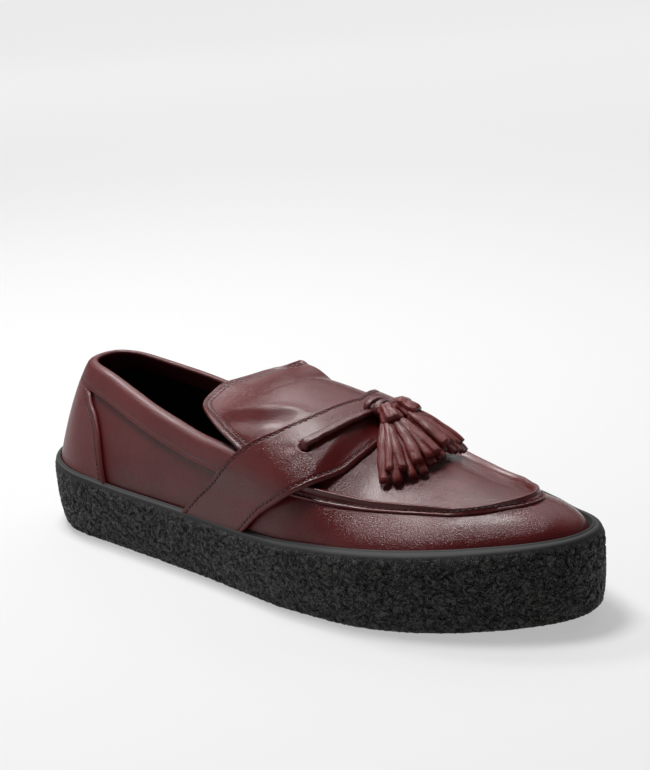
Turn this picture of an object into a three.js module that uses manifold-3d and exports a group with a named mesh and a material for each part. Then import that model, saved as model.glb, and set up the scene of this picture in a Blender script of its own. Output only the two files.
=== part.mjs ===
// Tassel loafer, right foot: cup sole, hollow upper, saddle strap, tongue and two tassels.
// Millimetres. +X points to the toe, +Y to the inner (medial) side, +Z up.
// The shoe stands on z = 0, and x = 0 is the middle of its length.

import * as THREE from 'three';
import { mergeVertices } from 'three/addons/utils/BufferGeometryUtils.js';
import Module from 'manifold-3d';

const wasm = await Module();
wasm.setup();

// Driving dimensions: whole shoe

const SHOE_LENGTH = 300;
const BALL_WIDTH = 108;
const HEEL_WIDTH = 78;
const OUTLINE_SHIFT = 1.48;
const CLEARANCE = 0.3;

// Driving dimensions: cup sole

const SOLE_HEIGHT_HEEL = 33.3;
const SOLE_HEIGHT_WAIST = 28.6;
const SOLE_HEIGHT_TOE = 38.3;
const TOE_SPRING = 5;
const ROCKER_AT = 0.72;
const SHOULDER_WIDTH_HEEL = 2.6;
const SHOULDER_WIDTH_BALL = 5.3;
const SHOULDER_WIDTH_TOE = 4.8;
const TUCK_UNDER = 3;
const LIP_WIDTH = 1.4;
const LIP_HEIGHT = 0.6;
const CUP_DEPTH = 7;

// Driving dimensions: upper

const UPPER_WALL = 2;
const HEEL_HEIGHT = 78.5;
const COLLAR_LOW = 58;
const INSTEP_HEIGHT = 80;
const TOE_BOX_HEIGHT = 49;
const HEEL_CROWN = 88;
const CREST_OFFSET = 8;
const THROAT_X = 12;

// Driving dimensions: overlays, insole and lace

const OVERLAY_GAP = 0.5;
const COUNTER_THICKNESS = 1;
const COLLAR_BAND_THICKNESS = 1;
const COLLAR_BAND_WIDTH = 9.5;
const SEAM_THICKNESS = 1.3;
const TONGUE_THICKNESS = 2.2;
const TONGUE_HOLD = 6;
const TONGUE_FREE_LENGTH = 42;
const TONGUE_FLAT_LENGTH = 24;
const TONGUE_SINK = 9;
const TONGUE_TILT = 0.1;
const TONGUE_ROOM = 0.5;
const STRAP_THICKNESS = 2;
const INSOLE_THICKNESS = 3.5;
const INSOLE_SIDE_GAP = 1.4;
const LACE_WIDTH = 4.6;
const LACE_THICKNESS = 2.6;
const LACE_HOLE_SPARE = 0.5;
const LACE_LIFT = 0.8;
const KNOT_RADIUS = 4;
const KNOT_LENGTH = 8;
const KNOT_GROOVE = 0.7;

// Driving dimensions: tassels

const TASSEL_LENGTH = 38;
const CAP_RADIUS = 4.4;
const CAP_LENGTH = 8;
const CAP_GROOVE = 0.5;
const CAP_DROP = 3.4;
const STRIP_WIDTH = 3.3;
const STRIPS_PER_LAYER = 5;

// Mesh steps

const RING_STEPS = 36;
const CLIMB_STEPS = 10;
const COLLAR_STEPS = 22;
const SOLVE_STEPS = 4;
const HALVINGS = 24;
const ROUND_SIDES = 12;

const LATERAL = -1;
const MEDIAL = 1;

// A smooth run through the rows of a table, level at each local high or low.

function smoothRun(rows, at, value) {
  const xs = rows.map((row) => row[at]);
  const ys = rows.map((row) => row[value]);
  const slopes = ys.slice(1).map((y, i) => (y - ys[i]) / (xs[i + 1] - xs[i]));
  const tangents = ys.map((_, i) => {
    if (i === 0) return slopes[0];
    if (i === ys.length - 1) return slopes[i - 1];
    const [before, after] = [slopes[i - 1], slopes[i]];
    return before * after <= 0 ? 0 : (2 * before * after) / (before + after);
  });
  return (x) => {
    const place = THREE.MathUtils.clamp(x, xs[0], xs[xs.length - 1]);
    let i = 0;
    while (i < xs.length - 2 && place > xs[i + 1]) i += 1;
    const step = xs[i + 1] - xs[i];
    const t = (place - xs[i]) / step;
    const rise = ys[i + 1] - ys[i];
    const bend = t * t * (3 - 2 * t);
    const leave = t * (1 - t) * (1 - t) * step * tangents[i];
    const arrive = t * t * (t - 1) * step * tangents[i + 1];
    return ys[i] + rise * bend + leave + arrive;
  };
}

const { lerp, smoothstep } = THREE.MathUtils;

// Sole outline: half widths at stations from heel to toe, as shares of a named width

const OUTLINE = [
  { at: 0.0, size: HEEL_WIDTH, lateral: 0.477, medial: 0.486 },
  { at: 0.08, size: HEEL_WIDTH, lateral: 0.495, medial: 0.499 },
  { at: 0.18, size: HEEL_WIDTH, lateral: 0.52, medial: 0.505 },
  { at: 0.3, size: HEEL_WIDTH, lateral: 0.562, medial: 0.486 },
  { at: 0.42, size: BALL_WIDTH, lateral: 0.442, medial: 0.343 },
  { at: 0.52, size: BALL_WIDTH, lateral: 0.479, medial: 0.38 },
  { at: 0.62, size: BALL_WIDTH, lateral: 0.512, medial: 0.454 },
  { at: 0.7, size: BALL_WIDTH, lateral: 0.509, medial: 0.486 },
  { at: 0.78, size: BALL_WIDTH, lateral: 0.487, medial: 0.468 },
  { at: 0.86, size: BALL_WIDTH, lateral: 0.444, medial: 0.414 },
  { at: 0.93, size: BALL_WIDTH, lateral: 0.386, medial: 0.366 },
  { at: 1.0, size: BALL_WIDTH, lateral: 0.339, medial: 0.372 },
].map((row) => ({ at: row.at, lateral: row.size * row.lateral, medial: row.size * row.medial }));

const lateralHalf = smoothRun(OUTLINE, 'at', 'lateral');
const medialHalf = smoothRun(OUTLINE, 'at', 'medial');

// Rounding of the outline's two ends: where each begins, and how square it is

const HEEL_ROUND = { reach: 0.138, power: 2.28 };
const TOE_ROUND = { reach: 0.321, power: 2.21 };

function endRounding(at) {
  const heel = Math.max(HEEL_ROUND.reach - at, 0) / HEEL_ROUND.reach;
  const toe = Math.max(at - 1 + TOE_ROUND.reach, 0) / TOE_ROUND.reach;
  const heelShare = Math.max(1 - heel ** HEEL_ROUND.power, 0) ** (1 / HEEL_ROUND.power);
  const toeShare = Math.max(1 - toe ** TOE_ROUND.power, 0) ** (1 / TOE_ROUND.power);
  return heelShare * toeShare;
}

const stationOf = (x) => x / SHOE_LENGTH + 0.5;
const middleY = (at) => OUTLINE_SHIFT + (medialHalf(at) - lateralHalf(at)) / 2;

// Shoulder: how far the leather stands in from the sole's outline

const SHOULDER = [
  { at: 0.0, width: SHOULDER_WIDTH_HEEL },
  { at: 0.5, width: lerp(SHOULDER_WIDTH_HEEL, SHOULDER_WIDTH_BALL, 0.52) },
  { at: 0.88, width: SHOULDER_WIDTH_BALL },
  { at: 1.0, width: SHOULDER_WIDTH_TOE },
];
const shoulder = smoothRun(SHOULDER, 'at', 'width');

// A point of the outline moved inward by inset(at). walk runs from 0 at the heel to 1 at the toe.

function outlinePoint(walk, side, inset) {
  const at = (1 - Math.cos(Math.PI * walk)) / 2;
  const heelEnd = -SHOE_LENGTH / 2 + inset(0);
  const toeEnd = SHOE_LENGTH / 2 - inset(1);
  const half = (lateralHalf(at) + medialHalf(at)) / 2 - inset(at);
  return {
    at,
    x: lerp(heelEnd, toeEnd, at),
    y: middleY(at) + side * half * endRounding(at),
  };
}

function walkAt(x, inset) {
  const heelEnd = -SHOE_LENGTH / 2 + inset(0);
  const toeEnd = SHOE_LENGTH / 2 - inset(1);
  const at = THREE.MathUtils.clamp((x - heelEnd) / (toeEnd - heelEnd), 0, 1);
  return Math.acos(1 - 2 * at) / Math.PI;
}

// Height of the sole's top edge, where the leather leaves the cup

const SOLE_TOP = [
  { at: 0.0, z: SOLE_HEIGHT_HEEL },
  { at: 0.25, z: lerp(SOLE_HEIGHT_WAIST, SOLE_HEIGHT_HEEL, 0.04) },
  { at: 0.5, z: SOLE_HEIGHT_WAIST },
  { at: 0.75, z: lerp(SOLE_HEIGHT_WAIST, SOLE_HEIGHT_TOE, 0.43) },
  { at: 1.0, z: SOLE_HEIGHT_TOE },
];
const soleTop = smoothRun(SOLE_TOP, 'at', 'z');
const cupFloor = (at) => soleTop(at) - CUP_DEPTH;

// Crown of the last over each station, and how full and how upright its sides and top are

const CROWN = [
  { at: 0.0, z: HEEL_CROWN },
  { at: 0.13, z: HEEL_CROWN },
  { at: 0.25, z: lerp(INSTEP_HEIGHT, HEEL_CROWN, 0.75) },
  { at: 0.33, z: lerp(INSTEP_HEIGHT, HEEL_CROWN, 0.2) },
  { at: 0.4, z: INSTEP_HEIGHT },
  { at: 0.5, z: lerp(TOE_BOX_HEIGHT, INSTEP_HEIGHT, 0.94) },
  { at: 0.6, z: lerp(TOE_BOX_HEIGHT, INSTEP_HEIGHT, 0.71) },
  { at: 0.67, z: lerp(TOE_BOX_HEIGHT, INSTEP_HEIGHT, 0.43) },
  { at: 0.72, z: lerp(TOE_BOX_HEIGHT, INSTEP_HEIGHT, 0.26) },
  { at: 0.78, z: lerp(TOE_BOX_HEIGHT, INSTEP_HEIGHT, 0.14) },
  { at: 0.84, z: lerp(TOE_BOX_HEIGHT, INSTEP_HEIGHT, 0.045) },
  { at: 0.9, z: TOE_BOX_HEIGHT },
  { at: 1.0, z: TOE_BOX_HEIGHT },
];
const crown = smoothRun(CROWN, 'at', 'z');

const FULLNESS = [
  { at: 0.0, side: 0.42, reach: 0.84, top: 0.62, crest: 0.0 },
  { at: 0.05, side: 0.42, reach: 0.84, top: 0.42, crest: 0.0 },
  { at: 0.13, side: 0.42, reach: 0.9, top: 0.3, crest: 0.0 },
  { at: 0.25, side: 0.43, reach: 1, top: 0.4, crest: 0.35 },
  { at: 0.33, side: 0.46, reach: 1, top: 0.5, crest: 0.6 },
  { at: 0.4, side: 0.5, reach: 1, top: 0.6, crest: 0.8 },
  { at: 0.52, side: 0.52, reach: 1, top: 0.7, crest: 1.0 },
  { at: 0.6, side: 0.54, reach: 1, top: 0.66, crest: 0.95 },
  { at: 0.65, side: 0.52, reach: 1, top: 0.58, crest: 0.85 },
  { at: 0.72, side: 0.46, reach: 1, top: 0.38, crest: 0.5 },
  { at: 0.8, side: 0.5, reach: 1, top: 0.3, crest: 0.2 },
  { at: 0.88, side: 0.62, reach: 1, top: 0.46, crest: 0.0 },
  { at: 1.0, side: 0.78, reach: 1, top: 0.62, crest: 0.0 },
];
const sideFullness = smoothRun(FULLNESS, 'at', 'side');
const sideReach = smoothRun(FULLNESS, 'at', 'reach');
const topFullness = smoothRun(FULLNESS, 'at', 'top');
const crest = smoothRun(FULLNESS, 'at', 'crest');

// The spine that the sections lean to stops short of both ends, and the ends fan out from there.

const HEEL_FAN_X = -SHOE_LENGTH * 0.367;
const TOE_FAN_X = SHOE_LENGTH / 3;

// A point of the last grown outward by grow: walk along the outline, then climb to the crown.

function lastPoint(walk, side, climb, grow) {
  const foot = outlinePoint(walk, side, (at) => shoulder(at) - grow);
  const spineX = THREE.MathUtils.clamp(foot.x, HEEL_FAN_X, TOE_FAN_X);
  const spineAt = stationOf(spineX);
  const spineY = middleY(spineAt) + CREST_OFFSET * crest(spineAt);
  const left = 1 - climb;
  const outward =
    left ** 3 +
    3 * sideReach(foot.at) * left * left * climb +
    3 * topFullness(foot.at) * left * climb * climb;
  const upward =
    3 * sideFullness(foot.at) * left * left * climb + 3 * left * climb * climb + climb ** 3;
  const x = lerp(spineX, foot.x, outward);
  const y = lerp(spineY, foot.y, outward);
  const base = cupFloor(stationOf(x));
  return new THREE.Vector3(x, y, lerp(base, crown(stationOf(x)) + grow, upward));
}

const lastAtX = (x, side, climb, grow) =>
  lastPoint(walkAt(x, (at) => shoulder(at) - grow), side, climb, grow);

function climbTo(walk, side, grow, heightAt) {
  let low = 0;
  let high = 1;
  for (let i = 0; i < HALVINGS; i += 1) {
    const middle = (low + high) / 2;
    const point = lastPoint(walk, side, middle, grow);
    if (point.z < heightAt(point.x)) low = middle;
    else high = middle;
  }
  return (low + high) / 2;
}

// Collar line in the side view

const COLLAR = [
  { at: 0.0, low: 0.0 },
  { at: 0.04, low: 0.02 },
  { at: 0.12, low: 0.14 },
  { at: 0.21, low: 0.42 },
  { at: 0.32, low: 0.76 },
  { at: 0.4, low: 0.91 },
  { at: 0.5, low: 1.0 },
].map((row) => ({ at: row.at, z: lerp(HEEL_HEIGHT, COLLAR_LOW, row.low) }));
const collarRun = smoothRun(COLLAR, 'at', 'z');
const collarHeight = (x) => collarRun(stationOf(x));
const COLLAR_END_X = -0.02 * SHOE_LENGTH;

// The throat: from the collar's end up to the tongue, as shares of the way forward and up

const THROAT = [
  { forward: 0.6, rise: 0.25 },
  { forward: 1.0, rise: 0.7 },
].map((row) => [
  lerp(COLLAR_END_X, THROAT_X, row.forward),
  lerp(COLLAR_LOW, INSTEP_HEIGHT, row.rise),
]);

// Edges of the overlays on the last: the climb of each row, and the x that the edge has there

const STRAP_EDGES = [
  { climb: 0.0, rear: -0.137, front: 0.003 },
  { climb: 0.1, rear: -0.108, front: 0.034 },
  { climb: 0.2, rear: -0.076, front: 0.064 },
  { climb: 0.3, rear: -0.042, front: 0.1 },
  { climb: 0.42, rear: -0.008, front: 0.136 },
  { climb: 0.52, rear: 0.02, front: 0.154 },
  { climb: 0.64, rear: 0.055, front: 0.166 },
  { climb: 0.8, rear: 0.083, front: 0.17 },
  { climb: 1.0, rear: 0.1, front: 0.17 },
].map((row) => ({
  climb: row.climb,
  rear: row.rear * SHOE_LENGTH,
  front: row.front * SHOE_LENGTH,
}));
const strapRear = smoothRun(STRAP_EDGES, 'climb', 'rear');
const strapFront = smoothRun(STRAP_EDGES, 'climb', 'front');

const SEAM_EDGES = [
  { at: 0.6, outer: 0.335, inner: 0.425, medialRise: 0.03 },
  { at: 0.66, outer: 0.368, inner: 0.46, medialRise: 0.035 },
  { at: 0.72, outer: 0.416, inner: 0.497, medialRise: 0.045 },
  { at: 0.78, outer: 0.456, inner: 0.535, medialRise: 0.045 },
  { at: 0.84, outer: 0.506, inner: 0.588, medialRise: 0.025 },
  { at: 0.9, outer: 0.556, inner: 0.636, medialRise: 0.008 },
  { at: 0.96, outer: 0.616, inner: 0.705, medialRise: 0.0 },
  { at: 1.0, outer: 0.64, inner: 0.74, medialRise: 0.0 },
];
const seamOuter = smoothRun(SEAM_EDGES, 'at', 'outer');
const seamInner = smoothRun(SEAM_EDGES, 'at', 'inner');
const seamRise = smoothRun(SEAM_EDGES, 'at', 'medialRise');

const COUNTER_EDGE = [
  { climb: 0.0, x: -0.297 },
  { climb: 0.1, x: -0.308 },
  { climb: 0.29, x: -0.333 },
  { climb: 0.39, x: -0.354 },
  { climb: 0.49, x: -0.396 },
  { climb: 0.6, x: -0.47 },
].map((row) => ({ climb: row.climb, x: row.x * SHOE_LENGTH }));
const counterEdge = smoothRun(COUNTER_EDGE, 'climb', 'x');

const TONGUE_END = [
  { climb: 0.465, lateral: -0.006, medial: -0.022 },
  { climb: 0.487, lateral: -0.026, medial: -0.068 },
  { climb: 0.515, lateral: -0.052, medial: -0.098 },
  { climb: 0.547, lateral: -0.0754, medial: -0.111 },
  { climb: 0.61, lateral: -0.108, medial: -0.12 },
  { climb: 0.69, lateral: -0.136, medial: -0.126 },
  { climb: 0.785, lateral: -0.147, medial: -0.131 },
  { climb: 0.88, lateral: -0.149, medial: -0.137 },
  { climb: 1.0, lateral: -0.147, medial: -0.147 },
].map((row) => ({
  climb: row.climb,
  lateral: row.lateral * SHOE_LENGTH,
  medial: row.medial * SHOE_LENGTH,
}));
const lateralTongueEnd = smoothRun(TONGUE_END, 'climb', 'lateral');
const medialTongueEnd = smoothRun(TONGUE_END, 'climb', 'medial');
const tongueEnd = (side, climb) =>
  side === LATERAL ? lateralTongueEnd(climb) : medialTongueEnd(climb);
const TONGUE_FRONT = SHOE_LENGTH * 0.13;
const TONGUE_EDGE_CLIMB = TONGUE_END[0].climb;

// Climbs at which an overlay's foot is set out, and at which the tongue starts and ends its sink

const FOOT_CLIMB = 0.1;
const SINK_CLIMB = { from: 0.5, to: 0.85 };

// Mesh building: a grid of points becomes triangles, and merged vertices make a closed body.

function solidFrom(triangles) {
  const geometry = new THREE.BufferGeometry();
  const places = triangles.flatMap((corners) => corners.flatMap((p) => [p.x, p.y, p.z]));
  geometry.setAttribute('position', new THREE.Float32BufferAttribute(places, 3));
  const merged = mergeVertices(geometry, 1e-3);
  const index = [];
  for (let i = 0; i < merged.index.count; i += 3) {
    const [a, b, c] = [0, 1, 2].map((n) => merged.index.getX(i + n));
    if (a !== b && b !== c && a !== c) index.push(a, b, c);
  }
  return new wasm.Manifold(
    new wasm.Mesh({
      numProp: 3,
      vertProperties: new Float32Array(merged.attributes.position.array),
      triVerts: new Uint32Array(index),
    }),
  );
}

function gridTriangles(rows, flip = false) {
  const triangles = [];
  for (let i = 0; i < rows.length - 1; i += 1) {
    for (let j = 0; j < rows[i].length - 1; j += 1) {
      const [a, b, c, d] = [rows[i][j], rows[i + 1][j], rows[i + 1][j + 1], rows[i][j + 1]];
      triangles.push(flip ? [a, c, b] : [a, b, c], flip ? [a, d, c] : [a, c, d]);
    }
  }
  return triangles;
}

// A plate between two grids of the same size, closed round its four edges

function plate(outer, inner) {
  const last = outer.length - 1;
  const end = outer[0].length - 1;
  const column = (grid, j) => grid.map((row) => row[j]);
  return solidFrom([
    ...gridTriangles(outer),
    ...gridTriangles(inner, true),
    ...gridTriangles([inner[0], outer[0]]),
    ...gridTriangles([outer[last], inner[last]]),
    ...gridTriangles([column(outer, 0), column(inner, 0)]),
    ...gridTriangles([column(inner, end), column(outer, end)]),
  ]);
}

function grid(rowCount, columnCount, pointAt) {
  return Array.from({ length: rowCount + 1 }, (_, i) =>
    Array.from({ length: columnCount + 1 }, (__, j) => pointAt(i / rowCount, j / columnCount)),
  );
}

// A closed dome of the last: both sides climb to the crown, and the underside is flat across.

function dome(grow, reachDown) {
  const sideGrid = (side) =>
    grid(RING_STEPS, CLIMB_STEPS, (walk, climb) => lastPoint(walk, side, climb, grow));
  const lower = (point) => point.clone().setZ(point.z - reachDown);
  const [lateral, medial] = [sideGrid(LATERAL), sideGrid(MEDIAL)];
  const foot = (rows) => rows.map((row) => row[0]);
  const sole = (rows) => foot(rows).map(lower);
  const skirt = reachDown > 0;
  return solidFrom([
    ...gridTriangles(lateral),
    ...gridTriangles(medial, true),
    ...(skirt ? gridTriangles([foot(lateral), sole(lateral)]) : []),
    ...(skirt ? gridTriangles([foot(medial), sole(medial)], true) : []),
    ...gridTriangles([sole(lateral), sole(medial)]),
  ]);
}

// A prism across the shoe from an outline in the side view

function sidePrism(outline, width) {
  const shape = new THREE.Shape(outline.map(([x, z]) => new THREE.Vector2(x, z)));
  const geometry = new THREE.ExtrudeGeometry(shape, { depth: width, bevelEnabled: false });
  geometry.rotateX(Math.PI / 2);
  geometry.translate(0, width / 2, 0);
  return solidFromGeometry(geometry);
}

function solidFromGeometry(geometry) {
  const plain = geometry.index ? geometry.toNonIndexed() : geometry;
  const position = plain.attributes.position;
  const corner = (i) => new THREE.Vector3().fromBufferAttribute(position, i);
  const triangles = [];
  for (let i = 0; i < position.count; i += 3) {
    triangles.push([corner(i), corner(i + 1), corner(i + 2)]);
  }
  return solidFrom(triangles);
}

// Cup sole: rings up the side wall, over the shoulder and lip, and down into the cup

const soleBottom = (at) => TOE_SPRING * (Math.max(at - ROCKER_AT, 0) / (1 - ROCKER_AT)) ** 2;
const leatherLine = (at) => shoulder(at) - CLEARANCE;
const LIP_CREST = 0.7;

const SOLE_PROFILE = [
  { height: 0.0, tuck: 1.0, setback: 0 },
  { height: 0.06, tuck: 0.62, setback: 0 },
  { height: 0.22, tuck: 0.3, setback: 0 },
  { height: 0.5, tuck: 0.06, setback: 0 },
  { height: 0.8, tuck: 0.0, setback: 0 },
  { height: 0.92, tuck: 0.0, setback: 0.12 },
  { height: 0.98, tuck: 0.0, setback: 0.42 },
  { height: 1.0, tuck: 0.0, setback: 1.0 },
];

function buildSole() {
  const rings = SOLE_PROFILE.map((row) => ({
    inset: (at) => row.tuck * TUCK_UNDER + row.setback * (leatherLine(at) - LIP_WIDTH),
    z: (at) => lerp(soleBottom(at), soleTop(at), row.height),
  }));
  rings.push(
    { inset: (at) => leatherLine(at) - LIP_WIDTH * LIP_CREST, z: (at) => soleTop(at) + LIP_HEIGHT },
    { inset: leatherLine, z: (at) => soleTop(at) + LIP_HEIGHT },
    { inset: leatherLine, z: (at) => cupFloor(at) - CLEARANCE },
  );
  const ringPoints = ({ inset, z }, side) =>
    Array.from({ length: RING_STEPS + 1 }, (_, i) => {
      const point = outlinePoint(i / RING_STEPS, side, inset);
      return new THREE.Vector3(point.x, point.y, z(stationOf(point.x)));
    });
  const lateral = rings.map((ring) => ringPoints(ring, LATERAL));
  const medial = rings.map((ring) => ringPoints(ring, MEDIAL));
  const floor = rings.length - 1;
  return solidFrom([
    ...gridTriangles(lateral, true),
    ...gridTriangles(medial),
    ...gridTriangles([lateral[0], medial[0]]),
    ...gridTriangles([lateral[floor], medial[floor]], true),
  ]);
}

// Upper: the last less a smaller last, open underneath and cut away at the collar

function buildUpper() {
  const shell = dome(0, 0).subtract(dome(-UPPER_WALL, CUP_DEPTH));
  const above = HEEL_CROWN * 2;
  const rearX = -SHOE_LENGTH;
  const rim = Array.from({ length: COLLAR_STEPS + 1 }, (_, i) => {
    const x = lerp(-SHOE_LENGTH / 2, COLLAR_END_X, i / COLLAR_STEPS);
    return [x, collarHeight(x)];
  });
  const opening = [
    [rearX, HEEL_HEIGHT],
    ...rim,
    ...THROAT,
    [THROAT_X, above],
    [rearX, above],
  ];
  return shell.subtract(sidePrism(opening, BALL_WIDTH * 2));
}

// Insole: a plate inside the upper's wall, on the cup's floor

function buildInsole() {
  const inset = (at) => shoulder(at) + UPPER_WALL + INSOLE_SIDE_GAP;
  const layer = (lift) =>
    [LATERAL, MEDIAL].map((side) =>
      Array.from({ length: RING_STEPS + 1 }, (_, i) => {
        const point = outlinePoint(i / RING_STEPS, side, inset);
        return new THREE.Vector3(point.x, point.y, cupFloor(stationOf(point.x)) + lift);
      }),
    );
  const [lowLateral, lowMedial] = layer(0);
  const [highLateral, highMedial] = layer(INSOLE_THICKNESS);
  return solidFrom([
    ...gridTriangles([lowLateral, lowMedial]),
    ...gridTriangles([highLateral, highMedial], true),
    ...gridTriangles([lowLateral, highLateral], true),
    ...gridTriangles([lowMedial, highMedial]),
  ]);
}

// A strip that runs over the crown from the medial side to the lateral side

function acrossCrown(across, along, pointAt) {
  return grid(across, along, (i, j) => {
    const side = i < 0.5 ? MEDIAL : LATERAL;
    return pointAt(side, 1 - Math.abs(2 * i - 1), j);
  });
}

// Tongue: it lies on the last under the strap. Its free end sinks a little at the middle and
// stays flat on the medial side.

const tongueTop = OVERLAY_GAP + TONGUE_THICKNESS;

function tonguePoint(x, side, climb, grow) {
  const point = lastAtX(x, side, climb, grow);
  const held = Math.min(strapRear(climb), THROAT_X) - TONGUE_HOLD;
  const free = smoothstep(held - x, 0, TONGUE_FREE_LENGTH);
  const level = smoothstep(held - x, 0, TONGUE_FLAT_LENGTH);
  const top = smoothstep(climb, SINK_CLIMB.from, SINK_CLIMB.to);
  const sink = TONGUE_SINK * free;
  if (side === LATERAL) {
    point.z -= sink * top;
    return point;
  }
  const ridge = lastAtX(x, side, 1, grow);
  const flatZ = ridge.z - sink + TONGUE_TILT * (point.y - ridge.y) * level;
  point.z = lerp(point.z - sink * top, flatZ, level);
  return point;
}

function buildTongue() {
  const layer = (grow) =>
    acrossCrown(24, 8, (side, rise, j) => {
      const climb = lerp(TONGUE_EDGE_CLIMB, 1, rise);
      return tonguePoint(lerp(tongueEnd(side, climb), TONGUE_FRONT, j), side, climb, grow);
    });
  return plate(layer(tongueTop), layer(OVERLAY_GAP));
}

// Saddle strap: close to the upper at the sides, and over the tongue at the top

const lipTop = (x) => soleTop(stationOf(x)) + LIP_HEIGHT + CLEARANCE;

const STRAP_LIFT = { from: 0.22, to: TONGUE_EDGE_CLIMB - 0.06 };
const strapGrow = (climb) =>
  lerp(OVERLAY_GAP, tongueTop + TONGUE_ROOM, smoothstep(climb, STRAP_LIFT.from, STRAP_LIFT.to));

function buildStrap() {
  const layer = (lift) =>
    acrossCrown(30, 5, (side, rise, j) => {
      const footX = lerp(strapRear(FOOT_CLIMB), strapFront(FOOT_CLIMB), j);
      const grow = OVERLAY_GAP + lift;
      const foot = climbTo(walkAt(footX, (at) => shoulder(at) - grow), side, grow, lipTop);
      const climb = lerp(foot, 1, rise);
      const x = lerp(strapRear(climb), strapFront(climb), j);
      return lastAtX(x, side, climb, strapGrow(climb) + lift);
    });
  const band = plate(layer(STRAP_THICKNESS), layer(0));
  return band.subtract(laceHole(LATERAL)).subtract(laceHole(MEDIAL));
}

// Lace: a flat cord out of one hole of the strap, over the crown and into the other hole

const LACE_RUN = [
  { climb: 0.605, x: 0.108 },
  { climb: 0.68, x: 0.118 },
  { climb: 0.8, x: 0.13 },
  { climb: 0.92, x: 0.137 },
  { climb: 1.0, x: 0.14 },
].map((row) => ({ climb: row.climb, x: row.x * SHOE_LENGTH }));
const laceX = smoothRun(LACE_RUN, 'climb', 'x');
const HOLE_CLIMB = LACE_RUN[0].climb;
const LACE_CLIMBS = [0.655, 0.7, 0.76, 0.82, 0.88, 0.94];
const HOLE_REACH = 2 * STRAP_THICKNESS;
const LACE_DEPTH = 0.8 * STRAP_THICKNESS;
const LACE_SEAT = LACE_LIFT + LACE_THICKNESS / 2;
const ELBOW = { up: 0.8 * LACE_SEAT, along: 0.35 * LACE_SEAT };

const onStrap = (side, climb, lift) =>
  lastAtX(laceX(climb), side, climb, strapGrow(climb) + STRAP_THICKNESS + lift);

function laceFrame(side, climb) {
  const step = 0.02;
  const from = onStrap(side, climb - step, 0);
  const to = onStrap(side, Math.min(climb + step, 1), 0);
  const along = to.sub(from).normalize();
  const up = onStrap(side, climb, 1).sub(onStrap(side, climb, 0)).normalize();
  const across = new THREE.Vector3().crossVectors(along, up).normalize();
  return { along, across, up: up.crossVectors(across, along).normalize() };
}

// A closed tube through stops, each a centre with two half-width vectors

function sweep(stops, sides) {
  const rows = stops.map(({ centre, across, up }) =>
    Array.from({ length: sides + 1 }, (_, n) => {
      const turn = (2 * Math.PI * (n % sides)) / sides;
      return centre
        .clone()
        .addScaledVector(across, Math.cos(turn))
        .addScaledVector(up, Math.sin(turn));
    }),
  );
  const lid = (row, centre, flip) =>
    row.slice(1).map((point, n) => (flip ? [centre, point, row[n]] : [centre, row[n], point]));
  const last = stops.length - 1;
  return solidFrom([
    ...gridTriangles(rows),
    ...lid(rows[0], stops[0].centre, false),
    ...lid(rows[last], stops[last].centre, true),
  ]);
}

function laceHole(side) {
  const { along, across, up } = laceFrame(side, HOLE_CLIMB);
  const centre = onStrap(side, HOLE_CLIMB, 0);
  const ends = [-HOLE_REACH, HOLE_REACH].map((lift) => ({
    centre: centre.clone().addScaledVector(up, lift),
    across: along.clone().multiplyScalar(LACE_THICKNESS / 2 + LACE_HOLE_SPARE),
    up: across.clone().multiplyScalar(LACE_WIDTH / 2 + LACE_HOLE_SPARE),
  }));
  return sweep(ends, ROUND_SIDES);
}

function buildLace() {
  const riseStops = (side) => {
    const hole = laceFrame(side, HOLE_CLIMB);
    const mouth = onStrap(side, HOLE_CLIMB, 0);
    const inHole = [-LACE_DEPTH, 0].map((lift) => ({
      centre: mouth.clone().addScaledVector(hole.up, lift),
      across: hole.across.clone().multiplyScalar(LACE_WIDTH / 2),
      up: hole.along.clone().multiplyScalar(-LACE_THICKNESS / 2),
    }));
    const bend = new THREE.Vector3().addVectors(hole.up, hole.along).normalize();
    const elbow = {
      centre: mouth
        .clone()
        .addScaledVector(hole.up, ELBOW.up)
        .addScaledVector(hole.along, ELBOW.along),
      across: hole.across.clone().multiplyScalar(LACE_WIDTH / 2),
      up: new THREE.Vector3()
        .crossVectors(hole.across, bend)
        .multiplyScalar(LACE_THICKNESS / 2),
    };
    const over = LACE_CLIMBS.map((climb) => {
      const frame = laceFrame(side, climb);
      return {
        centre: onStrap(side, climb, LACE_SEAT),
        across: frame.across.multiplyScalar(LACE_WIDTH / 2),
        up: frame.up.multiplyScalar(LACE_THICKNESS / 2),
      };
    });
    return [...inHole, elbow, ...over];
  };
  const medial = riseStops(MEDIAL)
    .reverse()
    .map(({ centre, across, up }) => ({ centre, across: across.negate(), up }));
  return sweep([...riseStops(LATERAL), ...medial], 8);
}

// Height of the grown last over a point of the plan

function heightOver(x, y, grow) {
  const side = y < lastAtX(x, LATERAL, 1, grow).y ? LATERAL : MEDIAL;
  let low = 0;
  let high = 1;
  for (let i = 0; i < HALVINGS; i += 1) {
    const middle = (low + high) / 2;
    const inside = (lastAtX(x, side, middle, grow).y - y) * side > 0;
    if (inside) low = middle;
    else high = middle;
  }
  return lastAtX(x, side, low, grow).z;
}

// Knot: the lace's wrapped turns at the crest, as a barrel with grooves

const KNOT_TURNS = 3;
const KNOT_FLATNESS = 0.72;
const crestPoint = (x, lift) =>
  lastAtX(x, LATERAL, 1, strapGrow(1) + STRAP_THICKNESS + LACE_LIFT + lift);

function barrel(length, radius, turns, groove) {
  const steps = 4 * turns;
  const profile = Array.from({ length: steps + 1 }, (_, i) => {
    const ridge = Math.abs(Math.sin((Math.PI * turns * i) / steps));
    return new THREE.Vector2(radius - groove + groove * ridge, (length * i) / steps);
  });
  const closed = [new THREE.Vector2(0, 0), ...profile, new THREE.Vector2(0, length)];
  return new THREE.LatheGeometry(closed, ROUND_SIDES);
}

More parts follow.
